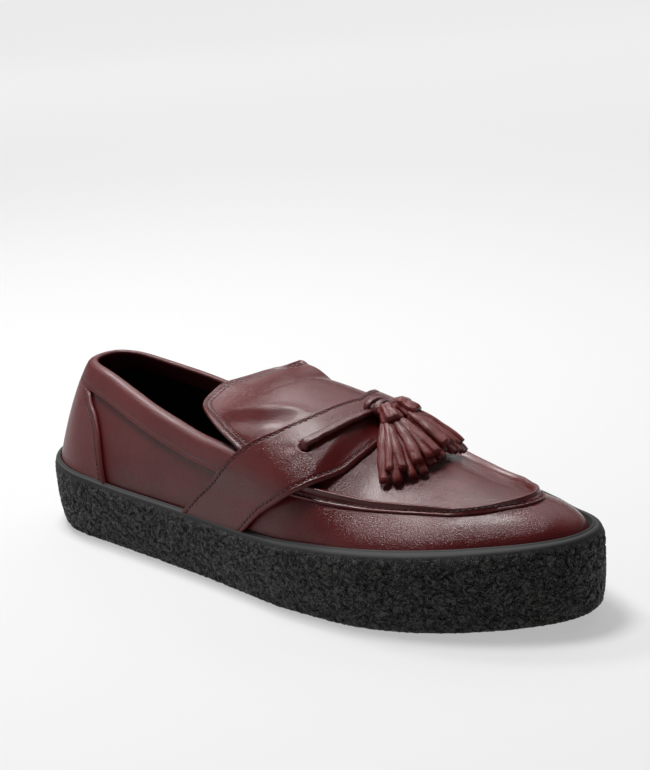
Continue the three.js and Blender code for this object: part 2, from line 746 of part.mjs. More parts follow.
function buildKnot() {
  const geometry = barrel(KNOT_LENGTH, KNOT_RADIUS, KNOT_TURNS, KNOT_GROOVE);
  geometry.rotateZ(-Math.PI / 2);
  geometry.scale(1, 1, KNOT_FLATNESS);
  const start = crestPoint(laceX(1) - KNOT_LENGTH / 2, KNOT_RADIUS * KNOT_FLATNESS);
  const end = crestPoint(laceX(1) + KNOT_LENGTH / 2, KNOT_RADIUS * KNOT_FLATNESS);
  geometry.rotateY(Math.atan2(start.z - end.z, end.x - start.x));
  geometry.translate(start.x, start.y - KNOT_RADIUS / 2, start.z);
  return solidFromGeometry(geometry);
}

// Tassels: a cap with two layers of strips that fan out and lie on the apron

const TASSELS = [
  { name: 'tassel_lateral', aside: -1.05, turn: -29, spread: 27, raise: 0 },
  { name: 'tassel_medial', aside: 1.05, turn: 10, spread: 19, raise: 3 },
];
const LAYERS = [
  { lift: 0, share: 1.0, reach: 1.0 },
  { lift: 0.8, share: 0.75, reach: 0.94 },
];
const STRIP_PROFILE = [
  { along: 0.0, width: 0.7 },
  { along: 0.45, width: 1.0 },
  { along: 0.75, width: 1.0 },
  { along: 0.95, width: 0.95 },
  { along: 1.0, width: 0.6 },
];
const TASSEL_PLAN_SHARE = 0.82;
const CAP_PLAN_SHARE = 0.9;
const STRIPS_START = 0.6;
const CAP_TURNS = 2;
const ROOT_X = laceX(1) + KNOT_LENGTH / 2 + CLEARANCE + CAP_RADIUS / 2;

function buildTassel({ aside, turn, spread, raise }) {
  const plan = (degrees) => {
    const angle = THREE.MathUtils.degToRad(degrees);
    return new THREE.Vector3(Math.cos(angle), Math.sin(angle), 0);
  };
  const radius = STRIP_WIDTH / 2;
  const root = crestPoint(ROOT_X, CAP_RADIUS);
  root.y += aside * CAP_RADIUS - KNOT_RADIUS / 2;
  const heading = plan(turn);
  const capEnd = root.clone().addScaledVector(heading, CAP_LENGTH * CAP_PLAN_SHARE);
  capEnd.z -= CAP_DROP;
  const strip = (angle, layer) => {
    const away = plan(angle);
    const start = root.clone().lerp(capEnd, STRIPS_START);
    const reach = (TASSEL_LENGTH - CAP_LENGTH * STRIPS_START) * TASSEL_PLAN_SHARE * layer.reach;
    const tip = start.clone().addScaledVector(away, reach);
    const rest = (x, y) => heightOver(x, y, OVERLAY_GAP) + raise + radius * (1 + 2 * layer.lift);
    const across = new THREE.Vector3(away.y, -away.x, 0);
    const centres = STRIP_PROFILE.map(({ along }) => {
      const centre = start.clone().lerp(tip, along);
      const slope = lerp(start.z, rest(tip.x, tip.y), along);
      centre.z = Math.max(slope, rest(centre.x, centre.y));
      return centre;
    });
    const stops = centres.map((centre, n) => {
      const before = centres[Math.max(n - 1, 0)];
      const after = centres[Math.min(n + 1, centres.length - 1)];
      const along = after.clone().sub(before).normalize();
      const size = radius * STRIP_PROFILE[n].width;
      return {
        centre,
        across: across.clone().multiplyScalar(size),
        up: new THREE.Vector3().crossVectors(across, along).multiplyScalar(size),
      };
    });
    return sweep(stops, 6);
  };
  const cap = barrel(root.distanceTo(capEnd), CAP_RADIUS, CAP_TURNS, CAP_GROOVE);
  const down = capEnd.clone().sub(root).normalize();
  cap.applyQuaternion(new THREE.Quaternion().setFromUnitVectors(new THREE.Vector3(0, 1, 0), down));
  cap.translate(root.x, root.y, root.z);
  return LAYERS.flatMap((layer) =>
    Array.from({ length: STRIPS_PER_LAYER }, (_, n) => {
      const share = (2 * n) / (STRIPS_PER_LAYER - 1) - 1;
      return strip(turn + share * spread * layer.share, layer);
    }),
  ).reduce((joined, one) => joined.add(one), solidFromGeometry(cap));
}

// A strip that runs round one end of the last from the lateral to the medial side

function roundHeel(along, across, pointAt) {
  return grid(along, across, (i, j) => {
    const side = i < 0.5 ? MEDIAL : LATERAL;
    return pointAt(side, Math.abs(2 * i - 1), j);
  });
}

// Collar band: a folded strip along the rim, from strap to strap behind the heel

const bandFoot = (x) => collarHeight(x) - COLLAR_BAND_WIDTH;

function buildCollarBand() {
  const layer = (grow) =>
    roundHeel(40, 2, (side, share, j) => {
      const height = (x) => lerp(bandFoot(x), collarHeight(x), j);
      const clear = 2 * CLEARANCE;
      let walk = 0;
      let climb = FOOT_CLIMB;
      for (let i = 0; i < SOLVE_STEPS; i += 1) {
        const end = walkAt(strapRear(climb) - clear, (at) => shoulder(at) - grow);
        walk = end * share;
        climb = climbTo(walk, side, grow, height);
      }
      return lastPoint(walk, side, climb, grow);
    });
  return plate(layer(OVERLAY_GAP + COLLAR_BAND_THICKNESS), layer(OVERLAY_GAP));
}

// Heel counter: the panel behind the heel, between the collar band and the sole

function buildCounter() {
  const layer = (grow) =>
    roundHeel(26, 5, (side, share, j) => {
      const lowWalk = walkAt(counterEdge(FOOT_CLIMB), (at) => shoulder(at) - grow) * share;
      const low = climbTo(lowWalk, side, grow, lipTop);
      const below = (x) => bandFoot(x) - 2 * CLEARANCE;
      let climb = low;
      let walk = 0;
      for (let i = 0; i < SOLVE_STEPS; i += 1) {
        walk = walkAt(counterEdge(climb), (at) => shoulder(at) - grow) * share;
        const high = climbTo(walk, side, grow, below);
        climb = lerp(low, high, j);
      }
      return lastPoint(walk, side, climb, grow);
    });
  return plate(layer(OVERLAY_GAP + COUNTER_THICKNESS), layer(OVERLAY_GAP));
}

// Apron seam: a raised band round the toe, from strap to strap

function buildApronSeam() {
  const layer = (grow) =>
    grid(40, 2, (i, j) => {
      const side = i < 0.5 ? LATERAL : MEDIAL;
      const share = 1 - Math.abs(2 * i - 1);
      let walk = 1;
      let climb = seamOuter(1);
      for (let n = 0; n < SOLVE_STEPS; n += 1) {
        const start = walkAt(strapFront(climb) + 2 * CLEARANCE, (at) => shoulder(at) - grow);
        walk = lerp(start, 1, share);
        const at = (1 - Math.cos(Math.PI * walk)) / 2;
        climb = lerp(seamOuter(at), seamInner(at), j);
        if (side === MEDIAL) climb += seamRise(at);
      }
      return lastPoint(walk, side, climb, grow);
    });
  return plate(layer(OVERLAY_GAP + SEAM_THICKNESS), layer(OVERLAY_GAP));
}

// The scene graph

const group = new THREE.Group();

function addPiece(name, solid, colour, roughness) {
  const mesh = solid.getMesh();
  const geometry = new THREE.BufferGeometry();
  geometry.setAttribute('position', new THREE.BufferAttribute(mesh.vertProperties, 3));
  geometry.setIndex(new THREE.BufferAttribute(mesh.triVerts, 1));
  geometry.computeVertexNormals();
  const material = new THREE.MeshStandardMaterial({ color: colour, roughness, metalness: 0 });
  const piece = new THREE.Mesh(geometry, material);
  piece.name = name;
  group.add(piece);
}

addPiece('cup_sole', buildSole(), 0x22221f, 0.9);
addPiece('upper', buildUpper(), 0x5a2e31, 0.4);
addPiece('insole', buildInsole(), 0x1a100e, 0.8);
addPiece('tongue', buildTongue(), 0x6a4344, 0.35);
addPiece('saddle_strap', buildStrap(), 0x532a2b, 0.4);
addPiece('collar_band', buildCollarBand(), 0x5c3a3a, 0.4);
addPiece('heel_counter', buildCounter(), 0x5a3c3d, 0.4);
addPiece('apron_seam', buildApronSeam(), 0x642f32, 0.35);
addPiece('lace', buildLace().add(buildKnot()), 0x5a3031, 0.35);
TASSELS.forEach((tassel) => addPiece(tassel.name, buildTassel(tassel), 0x6a3a3c, 0.35));

export default group;
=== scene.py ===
"""Dressed model of a tassel loafer for the right foot: polished leather upper, saddle strap,
tongue, lace and tassels on a thick crepe-sided cup sole."""

import math
import random

import bmesh
import bpy
import numpy as np
from mathutils import Matrix, Vector, noise


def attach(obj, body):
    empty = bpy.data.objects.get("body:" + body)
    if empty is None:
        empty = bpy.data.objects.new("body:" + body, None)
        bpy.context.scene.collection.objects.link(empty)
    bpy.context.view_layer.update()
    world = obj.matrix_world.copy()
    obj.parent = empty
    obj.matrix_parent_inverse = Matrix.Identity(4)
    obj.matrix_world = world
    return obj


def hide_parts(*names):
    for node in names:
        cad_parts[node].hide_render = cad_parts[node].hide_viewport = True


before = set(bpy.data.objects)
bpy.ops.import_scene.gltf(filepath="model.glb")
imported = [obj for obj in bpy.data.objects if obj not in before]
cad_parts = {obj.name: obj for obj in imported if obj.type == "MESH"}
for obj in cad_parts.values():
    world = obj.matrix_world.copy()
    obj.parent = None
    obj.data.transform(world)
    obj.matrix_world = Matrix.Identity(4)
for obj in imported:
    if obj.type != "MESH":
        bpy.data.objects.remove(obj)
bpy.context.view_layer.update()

MM = 0.001
WELD_DISTANCE = 2e-6
LATERAL, MEDIAL = -1.0, 1.0


# The last that the leather is pulled over. Lengths are millimetres, +X to the toe, +Y to the
# inner side. walk runs from 0 at the heel to 1 at the toe, climb from the sole to the crown.

SHOE_LENGTH, BALL_WIDTH, HEEL_WIDTH, OUTLINE_SHIFT = 300.0, 108.0, 78.0, 1.48
SOLE_HEIGHT_HEEL, SOLE_HEIGHT_WAIST, SOLE_HEIGHT_TOE = 33.3, 28.6, 38.3
CUP_DEPTH, LIP_WIDTH, LIP_HEIGHT, TOE_SPRING, ROCKER_AT = 7.0, 1.4, 0.6, 5.0, 0.72
HEEL_HEIGHT, COLLAR_LOW, INSTEP_HEIGHT, TOE_BOX_HEIGHT = 78.5, 58.0, 80.0, 49.0
HEEL_CROWN, CREST_OFFSET, THROAT_X = 88.0, 8.0, 12.0
SHOULDER_HEEL, SHOULDER_BALL, SHOULDER_TOE = 2.6, 5.3, 4.8
UPPER_WALL, OVERLAY_GAP = 2.0, 0.5
TONGUE_THICKNESS, TONGUE_ROOM, STRAP_THICKNESS = 2.2, 0.5, 2.0


def lerp(start, end, share):
    return start + (end - start) * share


def ease(x, start=0.0, end=1.0):
    share = np.clip((x - start) / (end - start), 0.0, 1.0)
    return share * share * (3 - 2 * share)


def smooth_run(stations, values):
    """A curve through a table's rows, level at each local high or low."""
    stations, values = np.array(stations, float), np.array(values, float)
    steps = np.diff(stations)
    slopes = np.diff(values) / steps
    product = slopes[:-1] * slopes[1:]
    turning = product <= 0
    inner = np.where(turning, 0.0, 2 * product / (slopes[:-1] + slopes[1:] + turning))
    tangents = np.concatenate([slopes[:1], inner, slopes[-1:]])

    def curve(x):
        x = np.clip(x, stations[0], stations[-1])
        i = np.clip(np.searchsorted(stations, x) - 1, 0, len(steps) - 1)
        t = (x - stations[i]) / steps[i]
        bend = (values[i + 1] - values[i]) * t * t * (3 - 2 * t)
        ends = (1 - t) * tangents[i] - t * tangents[i + 1]
        return values[i] + bend + steps[i] * t * (1 - t) * ends

    return curve


def table(*rows):
    """One curve for each column after the first."""
    columns = np.array(rows, float).T
    return [smooth_run(columns[0], column) for column in columns[1:]]


lateral_share, medial_share = table(
    (0.0, 0.477 * HEEL_WIDTH, 0.486 * HEEL_WIDTH),
    (0.08, 0.495 * HEEL_WIDTH, 0.499 * HEEL_WIDTH),
    (0.18, 0.52 * HEEL_WIDTH, 0.505 * HEEL_WIDTH),
    (0.3, 0.562 * HEEL_WIDTH, 0.486 * HEEL_WIDTH),
    (0.42, 0.442 * BALL_WIDTH, 0.343 * BALL_WIDTH),
    (0.52, 0.479 * BALL_WIDTH, 0.38 * BALL_WIDTH),
    (0.62, 0.512 * BALL_WIDTH, 0.454 * BALL_WIDTH),
    (0.7, 0.509 * BALL_WIDTH, 0.486 * BALL_WIDTH),
    (0.78, 0.487 * BALL_WIDTH, 0.468 * BALL_WIDTH),
    (0.86, 0.444 * BALL_WIDTH, 0.414 * BALL_WIDTH),
    (0.93, 0.386 * BALL_WIDTH, 0.366 * BALL_WIDTH),
    (1.0, 0.339 * BALL_WIDTH, 0.372 * BALL_WIDTH),
)
(sole_top,) = table(
    (0.0, SOLE_HEIGHT_HEEL),
    (0.25, lerp(SOLE_HEIGHT_WAIST, SOLE_HEIGHT_HEEL, 0.04)),
    (0.5, SOLE_HEIGHT_WAIST),
    (0.75, lerp(SOLE_HEIGHT_WAIST, SOLE_HEIGHT_TOE, 0.43)),
    (1.0, SOLE_HEIGHT_TOE),
)
(crown,) = table(
    (0.0, HEEL_CROWN),
    (0.13, HEEL_CROWN),
    (0.25, lerp(INSTEP_HEIGHT, HEEL_CROWN, 0.75)),
    (0.33, lerp(INSTEP_HEIGHT, HEEL_CROWN, 0.2)),
    (0.4, INSTEP_HEIGHT),
    (0.5, lerp(TOE_BOX_HEIGHT, INSTEP_HEIGHT, 0.94)),
    (0.6, lerp(TOE_BOX_HEIGHT, INSTEP_HEIGHT, 0.71)),
    (0.67, lerp(TOE_BOX_HEIGHT, INSTEP_HEIGHT, 0.43)),
    (0.72, lerp(TOE_BOX_HEIGHT, INSTEP_HEIGHT, 0.26)),
    (0.78, lerp(TOE_BOX_HEIGHT, INSTEP_HEIGHT, 0.14)),
    (0.84, lerp(TOE_BOX_HEIGHT, INSTEP_HEIGHT, 0.045)),
    (0.9, TOE_BOX_HEIGHT),
    (1.0, TOE_BOX_HEIGHT),
)
side_fullness, side_reach, top_fullness, crest_share = table(
    (0.0, 0.42, 0.84, 0.62, 0.0),
    (0.05, 0.42, 0.84, 0.42, 0.0),
    (0.13, 0.42, 0.9, 0.3, 0.0),
    (0.25, 0.43, 1.0, 0.4, 0.35),
    (0.33, 0.46, 1.0, 0.5, 0.6),
    (0.4, 0.5, 1.0, 0.6, 0.8),
    (0.52, 0.52, 1.0, 0.7, 1.0),
    (0.6, 0.54, 1.0, 0.66, 0.95),
    (0.65, 0.52, 1.0, 0.58, 0.85),
    (0.72, 0.46, 1.0, 0.38, 0.5),
    (0.8, 0.5, 1.0, 0.3, 0.2),
    (0.88, 0.62, 1.0, 0.46, 0.0),
    (1.0, 0.78, 1.0, 0.62, 0.0),
)
(shoulder,) = table(
    (0.0, SHOULDER_HEEL),
    (0.5, lerp(SHOULDER_HEEL, SHOULDER_BALL, 0.52)),
    (0.88, SHOULDER_BALL),
    (1.0, SHOULDER_TOE),
)
HEEL_REACH, HEEL_POWER, TOE_REACH, TOE_POWER = 0.138, 2.28, 0.321, 2.21
HEEL_FAN_X, TOE_FAN_X = -0.367 * SHOE_LENGTH, SHOE_LENGTH / 3


def station(x):
    return x / SHOE_LENGTH + 0.5


def middle_y(at):
    return OUTLINE_SHIFT + (medial_share(at) - lateral_share(at)) / 2


def end_rounding(at):
    heel = np.maximum(HEEL_REACH - at, 0) / HEEL_REACH
    toe = np.maximum(at - 1 + TOE_REACH, 0) / TOE_REACH
    heel_share = np.maximum(1 - heel**HEEL_POWER, 0) ** (1 / HEEL_POWER)
    return heel_share * np.maximum(1 - toe**TOE_POWER, 0) ** (1 / TOE_POWER)


def outline_point(walk, side, inset):
    """Station, x and y on the sole's outline moved inward by inset(station)."""
    at = (1 - np.cos(np.pi * walk)) / 2
    heel_end = -SHOE_LENGTH / 2 + inset(0.0)
    toe_end = SHOE_LENGTH / 2 - inset(1.0)
    half = (lateral_share(at) + medial_share(at)) / 2 - inset(at)
    return at, lerp(heel_end, toe_end, at), middle_y(at) + side * half * end_rounding(at)


def walk_at(x, grow=0.0):
    heel_end = -SHOE_LENGTH / 2 + shoulder(0.0) - grow
    toe_end = SHOE_LENGTH / 2 - shoulder(1.0) + grow
    at = np.clip((x - heel_end) / (toe_end - heel_end), 0, 1)
    return np.arccos(1 - 2 * at) / np.pi


def last(walk, side, climb, grow=0.0):
    """A place on the last, grown outward by grow."""
    walk, side, climb, grow = np.broadcast_arrays(
        *(np.asarray(value, float) for value in (walk, side, climb, grow))
    )
    at, foot_x, foot_y = outline_point(walk, side, lambda s: shoulder(s) - grow)
    spine_x = np.clip(foot_x, HEEL_FAN_X, TOE_FAN_X)
    spine_at = station(spine_x)
    spine_y = middle_y(spine_at) + CREST_OFFSET * crest_share(spine_at)
    left = 1 - climb
    outward = left**3 + 3 * left * climb * (left * side_reach(at) + climb * top_fullness(at))
    upward = 3 * side_fullness(at) * left * left * climb + 3 * left * climb**2 + climb**3
    x = lerp(spine_x, foot_x, outward)
    y = lerp(spine_y, foot_y, outward)
    base = sole_top(station(x)) - CUP_DEPTH
    return np.stack([x, y, lerp(base, crown(station(x)) + grow, upward)], -1)


def climb_to(walk, side, grow, height):
    """The climb at which the last reaches height(x)."""
    walk, side, grow = np.broadcast_arrays(walk, side, np.asarray(grow, float))
    low, high = np.zeros(walk.shape), np.ones(walk.shape)
    for _ in range(22):
        middle = (low + high) / 2
        spot = last(walk, side, middle, grow)
        below = spot[..., 2] < height(spot[..., 0])
        low, high = np.where(below, middle, low), np.where(below, high, middle)
    return (low + high) / 2


def over_crown(across, x, grow):
    """A place by its share across the crown, negative on the outer side, and its x."""
    side = np.where(across < 0, LATERAL, MEDIAL)
    return last(walk_at(x, grow), side, 1 - np.abs(across), grow)


# Lines on the last: collar, strap, counter, tongue and apron seam

(collar_low_share,) = table(
    (0.0, 0.0), (0.04, 0.02), (0.12, 0.14), (0.21, 0.42), (0.32, 0.76), (0.4, 0.91), (0.5, 1.0)
)
strap_rear_share, strap_front_share = table(
    (0.0, -0.137, 0.003),
    (0.1, -0.108, 0.034),
    (0.2, -0.076, 0.064),
    (0.3, -0.042, 0.1),
    (0.42, -0.008, 0.136),
    (0.52, 0.02, 0.154),
    (0.64, 0.055, 0.166),
    (0.8, 0.083, 0.17),
    (1.0, 0.1, 0.17),
)
seam_outer, seam_inner, seam_medial_rise = table(
    (0.6, 0.335, 0.425, 0.03),
    (0.66, 0.368, 0.46, 0.035),
    (0.72, 0.416, 0.497, 0.045),
    (0.78, 0.456, 0.535, 0.045),
    (0.84, 0.506, 0.588, 0.025),
    (0.9, 0.556, 0.636, 0.008),
    (0.96, 0.616, 0.705, 0.0),
    (1.0, 0.64, 0.74, 0.0),
)
(counter_edge_share,) = table(
    (0.0, -0.297), (0.1, -0.308), (0.29, -0.333), (0.39, -0.354), (0.49, -0.396), (0.6, -0.47)
)
lateral_tongue_share, medial_tongue_share = table(
    (0.465, -0.006, -0.022),
    (0.487, -0.026, -0.068),
    (0.515, -0.052, -0.098),
    (0.547, -0.0754, -0.111),
    (0.61, -0.108, -0.12),
    (0.69, -0.136, -0.126),
    (0.785, -0.147, -0.131),
    (0.88, -0.149, -0.137),
    (1.0, -0.147, -0.147),
)
TONGUE_EDGE_CLIMB, TONGUE_FRONT = 0.465, 0.13 * SHOE_LENGTH
TONGUE_HOLD, TONGUE_FREE_LENGTH, TONGUE_FLAT_LENGTH = 6.0, 42.0, 24.0
TONGUE_SINK, TONGUE_TILT = 9.0, 0.1
TONGUE_TOP = OVERLAY_GAP + TONGUE_THICKNESS
(lace_share,) = table((0.605, 0.108), (0.68, 0.118), (0.8, 0.13), (0.92, 0.137), (1.0, 0.14))
HOLE_CLIMB = 0.605


def collar_height(x):
    return lerp(HEEL_HEIGHT, COLLAR_LOW, collar_low_share(station(x)))


def strap_rear(climb):
    return SHOE_LENGTH * strap_rear_share(climb)


def strap_front(climb):
    return SHOE_LENGTH * strap_front_share(climb)


def counter_edge(climb):
    return SHOE_LENGTH * counter_edge_share(climb)


def lace_x(climb):
    return SHOE_LENGTH * lace_share(climb)


def strap_grow(climb):
    rise = ease(climb, 0.22, TONGUE_EDGE_CLIMB - 0.06)
    return lerp(OVERLAY_GAP, TONGUE_TOP + TONGUE_ROOM, rise)


def lip_top(x):
    return sole_top(station(x)) + LIP_HEIGHT


# Mesh helpers


def marks(length, margin, fine, coarse):
    """Shares of a length, close together within margin of both ends."""
    edge = np.arange(0, margin, fine)
    rounding = [0.0, 0.03, 0.12, 0.28, 0.5, 0.8]
    near = np.array(rounding + [d for d in edge if d > rounding[-1]])
    count = max(int((length - 2 * margin) / coarse), 2)
    inner = np.linspace(margin, length - margin, count + 1)
    return np.concatenate([near, inner, (length - near)[::-1]]) / length


def lay_skin(bm, spots):
    """Adds a grid of faces whose corners lie at spots."""
    rows, columns = spots.shape[:2]
    made = bmesh.ops.create_grid(bm, x_segments=rows - 1, y_segments=columns - 1, size=0.5)
    for vert, spot in zip(made["verts"], spots.swapaxes(0, 1).reshape(-1, 3) * MM):
        vert.co = spot
    return made["verts"]


def normals_of(spots):
    along, across = np.gradient(spots, axis=0), np.gradient(spots, axis=1)
    raw = np.cross(along, across)
    size = np.maximum(np.linalg.norm(raw, axis=-1, keepdims=True), 1e-9)
    normals = raw / size
    centre = spots.reshape(-1, 3).mean(0) * [1, 1, 0]
    outward = (normals * (spots - centre)).sum(-1).mean()
    return normals if outward > 0 else -normals


def finish_piece(name, bm, material, replaced=()):
    """Closes the doubled corners, turns the faces outward and puts the piece on the shoe."""
    bmesh.ops.remove_doubles(bm, verts=bm.verts, dist=WELD_DISTANCE)
    bmesh.ops.dissolve_degenerate(bm, edges=bm.edges, dist=1e-7)
    bmesh.ops.recalc_face_normals(bm, faces=bm.faces)
    for face in bm.faces:
        face.smooth = len(face.verts) < 5
    mesh = bpy.data.meshes.new(name)
    bm.to_mesh(mesh)
    bm.free()
    mesh.materials.append(material)
    piece = bpy.data.objects.new(name, mesh)
    bpy.context.scene.collection.objects.link(piece)
    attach(piece, "root")
    if replaced:
        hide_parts(*replaced)
    return piece


class Panel:
    """A leather piece laid over the last: flat below, rounded at its edges."""

    def __init__(self, place, us, vs, thickness, relief=None):
        u, v = np.meshgrid(us, vs, indexing="ij")
        half = thickness / 2
        middle = place(u, v, half)
        self.reach = self._distances(middle)
        nearest = np.min(list(self.reach.values()), axis=0)
        share = np.clip(nearest / half, 0, 1)
        swell = half * np.sqrt(1 - (1 - share) ** 2)
        lift = relief(self.reach, u, v) * share if relief else 0.0
        self.top = place(u, v, half + swell + lift)
        self.bottom = place(u, v, half - swell)
        self.normals = normals_of(self.top)

    @staticmethod
    def _distances(middle):
        """How far each corner lies from the grid's four edges."""
        reach = {}
        for axis, names in ((1, ("rear", "front")), (0, ("start", "end"))):
            lines = middle if axis == 1 else middle.swapaxes(0, 1)
            for name, ordered in zip(names, (lines, lines[:, ::-1])):
                steps = np.linalg.norm(np.diff(ordered, axis=1), axis=-1)
                distance = np.pad(np.cumsum(steps, axis=1), ((0, 0), (1, 0)))
                edge = np.gradient(ordered[:, 0], axis=0)
                edge /= np.maximum(np.linalg.norm(edge, axis=-1, keepdims=True), 1e-9)
                heading = ordered[:, min(6, ordered.shape[1] - 1)] - ordered[:, 0]
                heading /= np.maximum(np.linalg.norm(heading, axis=-1, keepdims=True), 1e-9)
                square = np.linalg.norm(np.cross(edge, heading), axis=-1)
                distance = distance * np.clip(square, 0.3, 1)[:, None]
                distance = distance if name in ("rear", "start") else distance[:, ::-1]
                reach[name] = distance if axis == 1 else distance.T
        return reach

    def build(self, name, material, replaced=()):
        bm = bmesh.new()
        lay_skin(bm, self.top)
        lay_skin(bm, self.bottom)
        return finish_piece(name, bm, material, replaced)

    def line(self, edge, inset):
        """The places and normals a fixed distance in from one edge."""
        flip = edge in ("front", "end")
        turn = edge in ("start", "end")

        def ordered(values):
            values = values.swapaxes(0, 1) if turn else values
            return values[:, ::-1] if flip else values

        distance, top, normals = (ordered(v) for v in (self.reach[edge], self.top, self.normals))
        spots, ups = [], []
        for row in range(len(distance)):
            if distance[row].max() < inset:
                continue
            after = int(np.argmax(distance[row] >= inset))
            before = max(after - 1, 0)
            span = distance[row][after] - distance[row][before]
            share = (inset - distance[row][before]) / span if span > 1e-9 else 0.0
            spots.append(lerp(top[row][before], top[row][after], share))
            ups.append(lerp(normals[row][before], normals[row][after], share))
        return np.array(spots), np.array(ups)


HEADING_REACH = 0.6


def spaced(spots, ups, pitch, start, end):
    """Places, headings and normals at an even pitch along a line."""
    steps = np.linalg.norm(np.diff(spots, axis=0), axis=1)
    length = np.concatenate([[0], np.cumsum(steps)])
    count = max(int((length[-1] - start - end) / pitch), 1)
    where = np.linspace(start, length[-1] - end, count + 1)

    def pick(values, at):
        return np.stack([np.interp(at, length, values[:, i]) for i in range(3)], -1)

    centre = pick(spots, where)
    heading = pick(spots, where + HEADING_REACH) - pick(spots, where - HEADING_REACH)
    heading /= np.maximum(np.linalg.norm(heading, axis=1, keepdims=True), 1e-9)
    return centre, heading, pick(ups, where)


def sew(bm, spots, ups, start, end, pitch=2.6, length=1.9, width=0.85, rise=0.12):
    """Adds thread stitches along a line, each a small spindle half sunk in the leather."""
    for centre, heading, up in zip(*spaced(spots, ups, pitch, start, end)):
        along = Vector(heading)
        across = along.cross(Vector(up)).normalized()
        height = across.cross(along)
        turn = Matrix((across * width, height * width * 0.7, along * length)).transposed()
        place = Matrix.Translation((Vector(centre) + Vector(up) * rise) * MM)
        place = place @ turn.to_4x4() @ Matrix.Scale(MM, 4)
        bmesh.ops.create_uvsphere(bm, u_segments=6, v_segments=4, radius=0.5, matrix=place)


def tube(bm, centres, acrosses, ups, section):
    """Adds a closed tube through centres. section gives (across, up) shares round it."""
    ring = np.array(section + section[:1], float)
    spots = (
        centres[:, None]
        + acrosses[:, None] * ring[None, :, :1]
        + ups[:, None] * ring[None, :, 1:]
    )
    made = lay_skin(bm, spots)
    bmesh.ops.remove_doubles(bm, verts=made, dist=WELD_DISTANCE)
    ends = [edge for edge in bm.edges if edge.is_boundary]
    bmesh.ops.holes_fill(bm, edges=ends, sides=0)


def round_section(count, flatten):
    """A ring of (across, up) shares; flatten squares it."""

    def squared(value):
        return math.copysign(abs(value) ** (1 - flatten), value)

    turns = [2 * math.pi * n / count for n in range(count)]
    return [(squared(math.cos(turn)), squared(math.sin(turn))) for turn in turns]


# Shader writing


class Signal:
    """A shader value or colour that takes part in plain arithmetic."""

    def __init__(self, finish, socket):
        self.finish, self.socket = finish, socket

    def _work(self, operation, *values):
        inputs = {n: value for n, value in enumerate(values)}
        return self.finish.node("ShaderNodeMath", {"operation": operation}, inputs)

    def __add__(self, other):
        return self._work("ADD", self, other)

    def __radd__(self, other):
        return self._work("ADD", other, self)

    def __sub__(self, other):
        return self._work("SUBTRACT", self, other)

    def __rsub__(self, other):
        return self._work("SUBTRACT", other, self)

    def __mul__(self, other):
        return self._work("MULTIPLY", self, other)

    def __rmul__(self, other):
        return self._work("MULTIPLY", other, self)

    def size(self):
        return self._work("ABSOLUTE", self)

    def step(self, start, end):
        """0 before start and 1 after end, with a soft rise between."""
        settings = {"interpolation_type": "SMOOTHSTEP"}
        inputs = {"Value": self, "From Min": start, "From Max": end}
        return self.finish.node("ShaderNodeMapRange", settings, inputs)


class Finish:
    """A material under construction."""

    def __init__(self, name):
        self.material = bpy.data.materials.new(name)
        self.material.use_nodes = True
        self.tree = self.material.node_tree
        self.shader = self.tree.nodes["Principled BSDF"]
        self.place = self.node("ShaderNodeTexCoord", {}, {}, "Object")

    def node(self, kind, settings, inputs, output=0):
        node = self.tree.nodes.new(kind)
        for name, value in settings.items():
            setattr(node, name, value)
        for name, value in inputs.items():
            self.feed(node.inputs[name], value)
        return Signal(self, node.outputs[output])

    def feed(self, socket, value):
        if isinstance(value, Signal):
            self.tree.links.new(value.socket, socket)
        else:
            socket.default_value = value

    def noise(self, scale, detail, roughness, distortion=0.0):
        inputs = {
            "Vector": self.place,
            "Scale": scale,
            "Detail": detail,
            "Roughness": roughness,
            "Distortion": distortion,
        }
        return self.node("ShaderNodeTexNoise", {"noise_type": "FBM"}, inputs)

    def cells(self, scale):
        inputs = {"Vector": self.place, "Scale": scale}
        return self.node("ShaderNodeTexVoronoi", {"feature": "F1"}, inputs, "Distance")

    def blend(self, share, first, second):
        return self.node(
            "ShaderNodeMix", {"data_type": "RGBA"}, {0: share, 6: first, 7: second}, 2
        )

    def bump(self, height, strength, distance, normal=None):
        inputs = {"Height": height, "Strength": strength, "Distance": distance}
        if normal is not None:
            inputs["Normal"] = normal
        return self.node("ShaderNodeBump", {}, inputs, "Normal")

    def set(self, **values):
        for name, value in values.items():
            self.feed(self.shader.inputs[name.replace("_", " ")], value)
        return self.material


def colour(red, green, blue):
    return (red, green, blue, 1.0)


def leather(name, base, deep, gloss=0.18, coat=0.12, grain=1.0):
    """Polished calf: quiet mottled dye, fine pores that sparkle, and faint broad waves."""
    finish = Finish(name)
    dye = finish.noise(24, 2, 0.5)
    streak = finish.noise(260, 3, 0.6)
    cell = finish.cells(2400)
    fine = finish.noise(1900, 2, 0.6)
    wave = finish.noise(70, 2, 0.5)
    tone = finish.blend((dye * 0.7 + streak * 0.3).step(0.3, 0.7), deep, base)
    height = cell * 0.5 + fine * 0.9 + streak * 0.3
    pore_bump = finish.bump(height, 0.42 * grain, 0.0006)
    bump = finish.bump(wave, 0.2, 0.0014, pore_bump)
    rough = gloss + (streak - 0.5) * 0.1 + (fine - 0.5) * 0.42
    return finish.set(
        Base_Color=tone,
        Roughness=rough,
        Normal=bump,
        Coat_Weight=coat,
        Coat_Roughness=0.22,
        Specular_IOR_Level=0.24,
    )


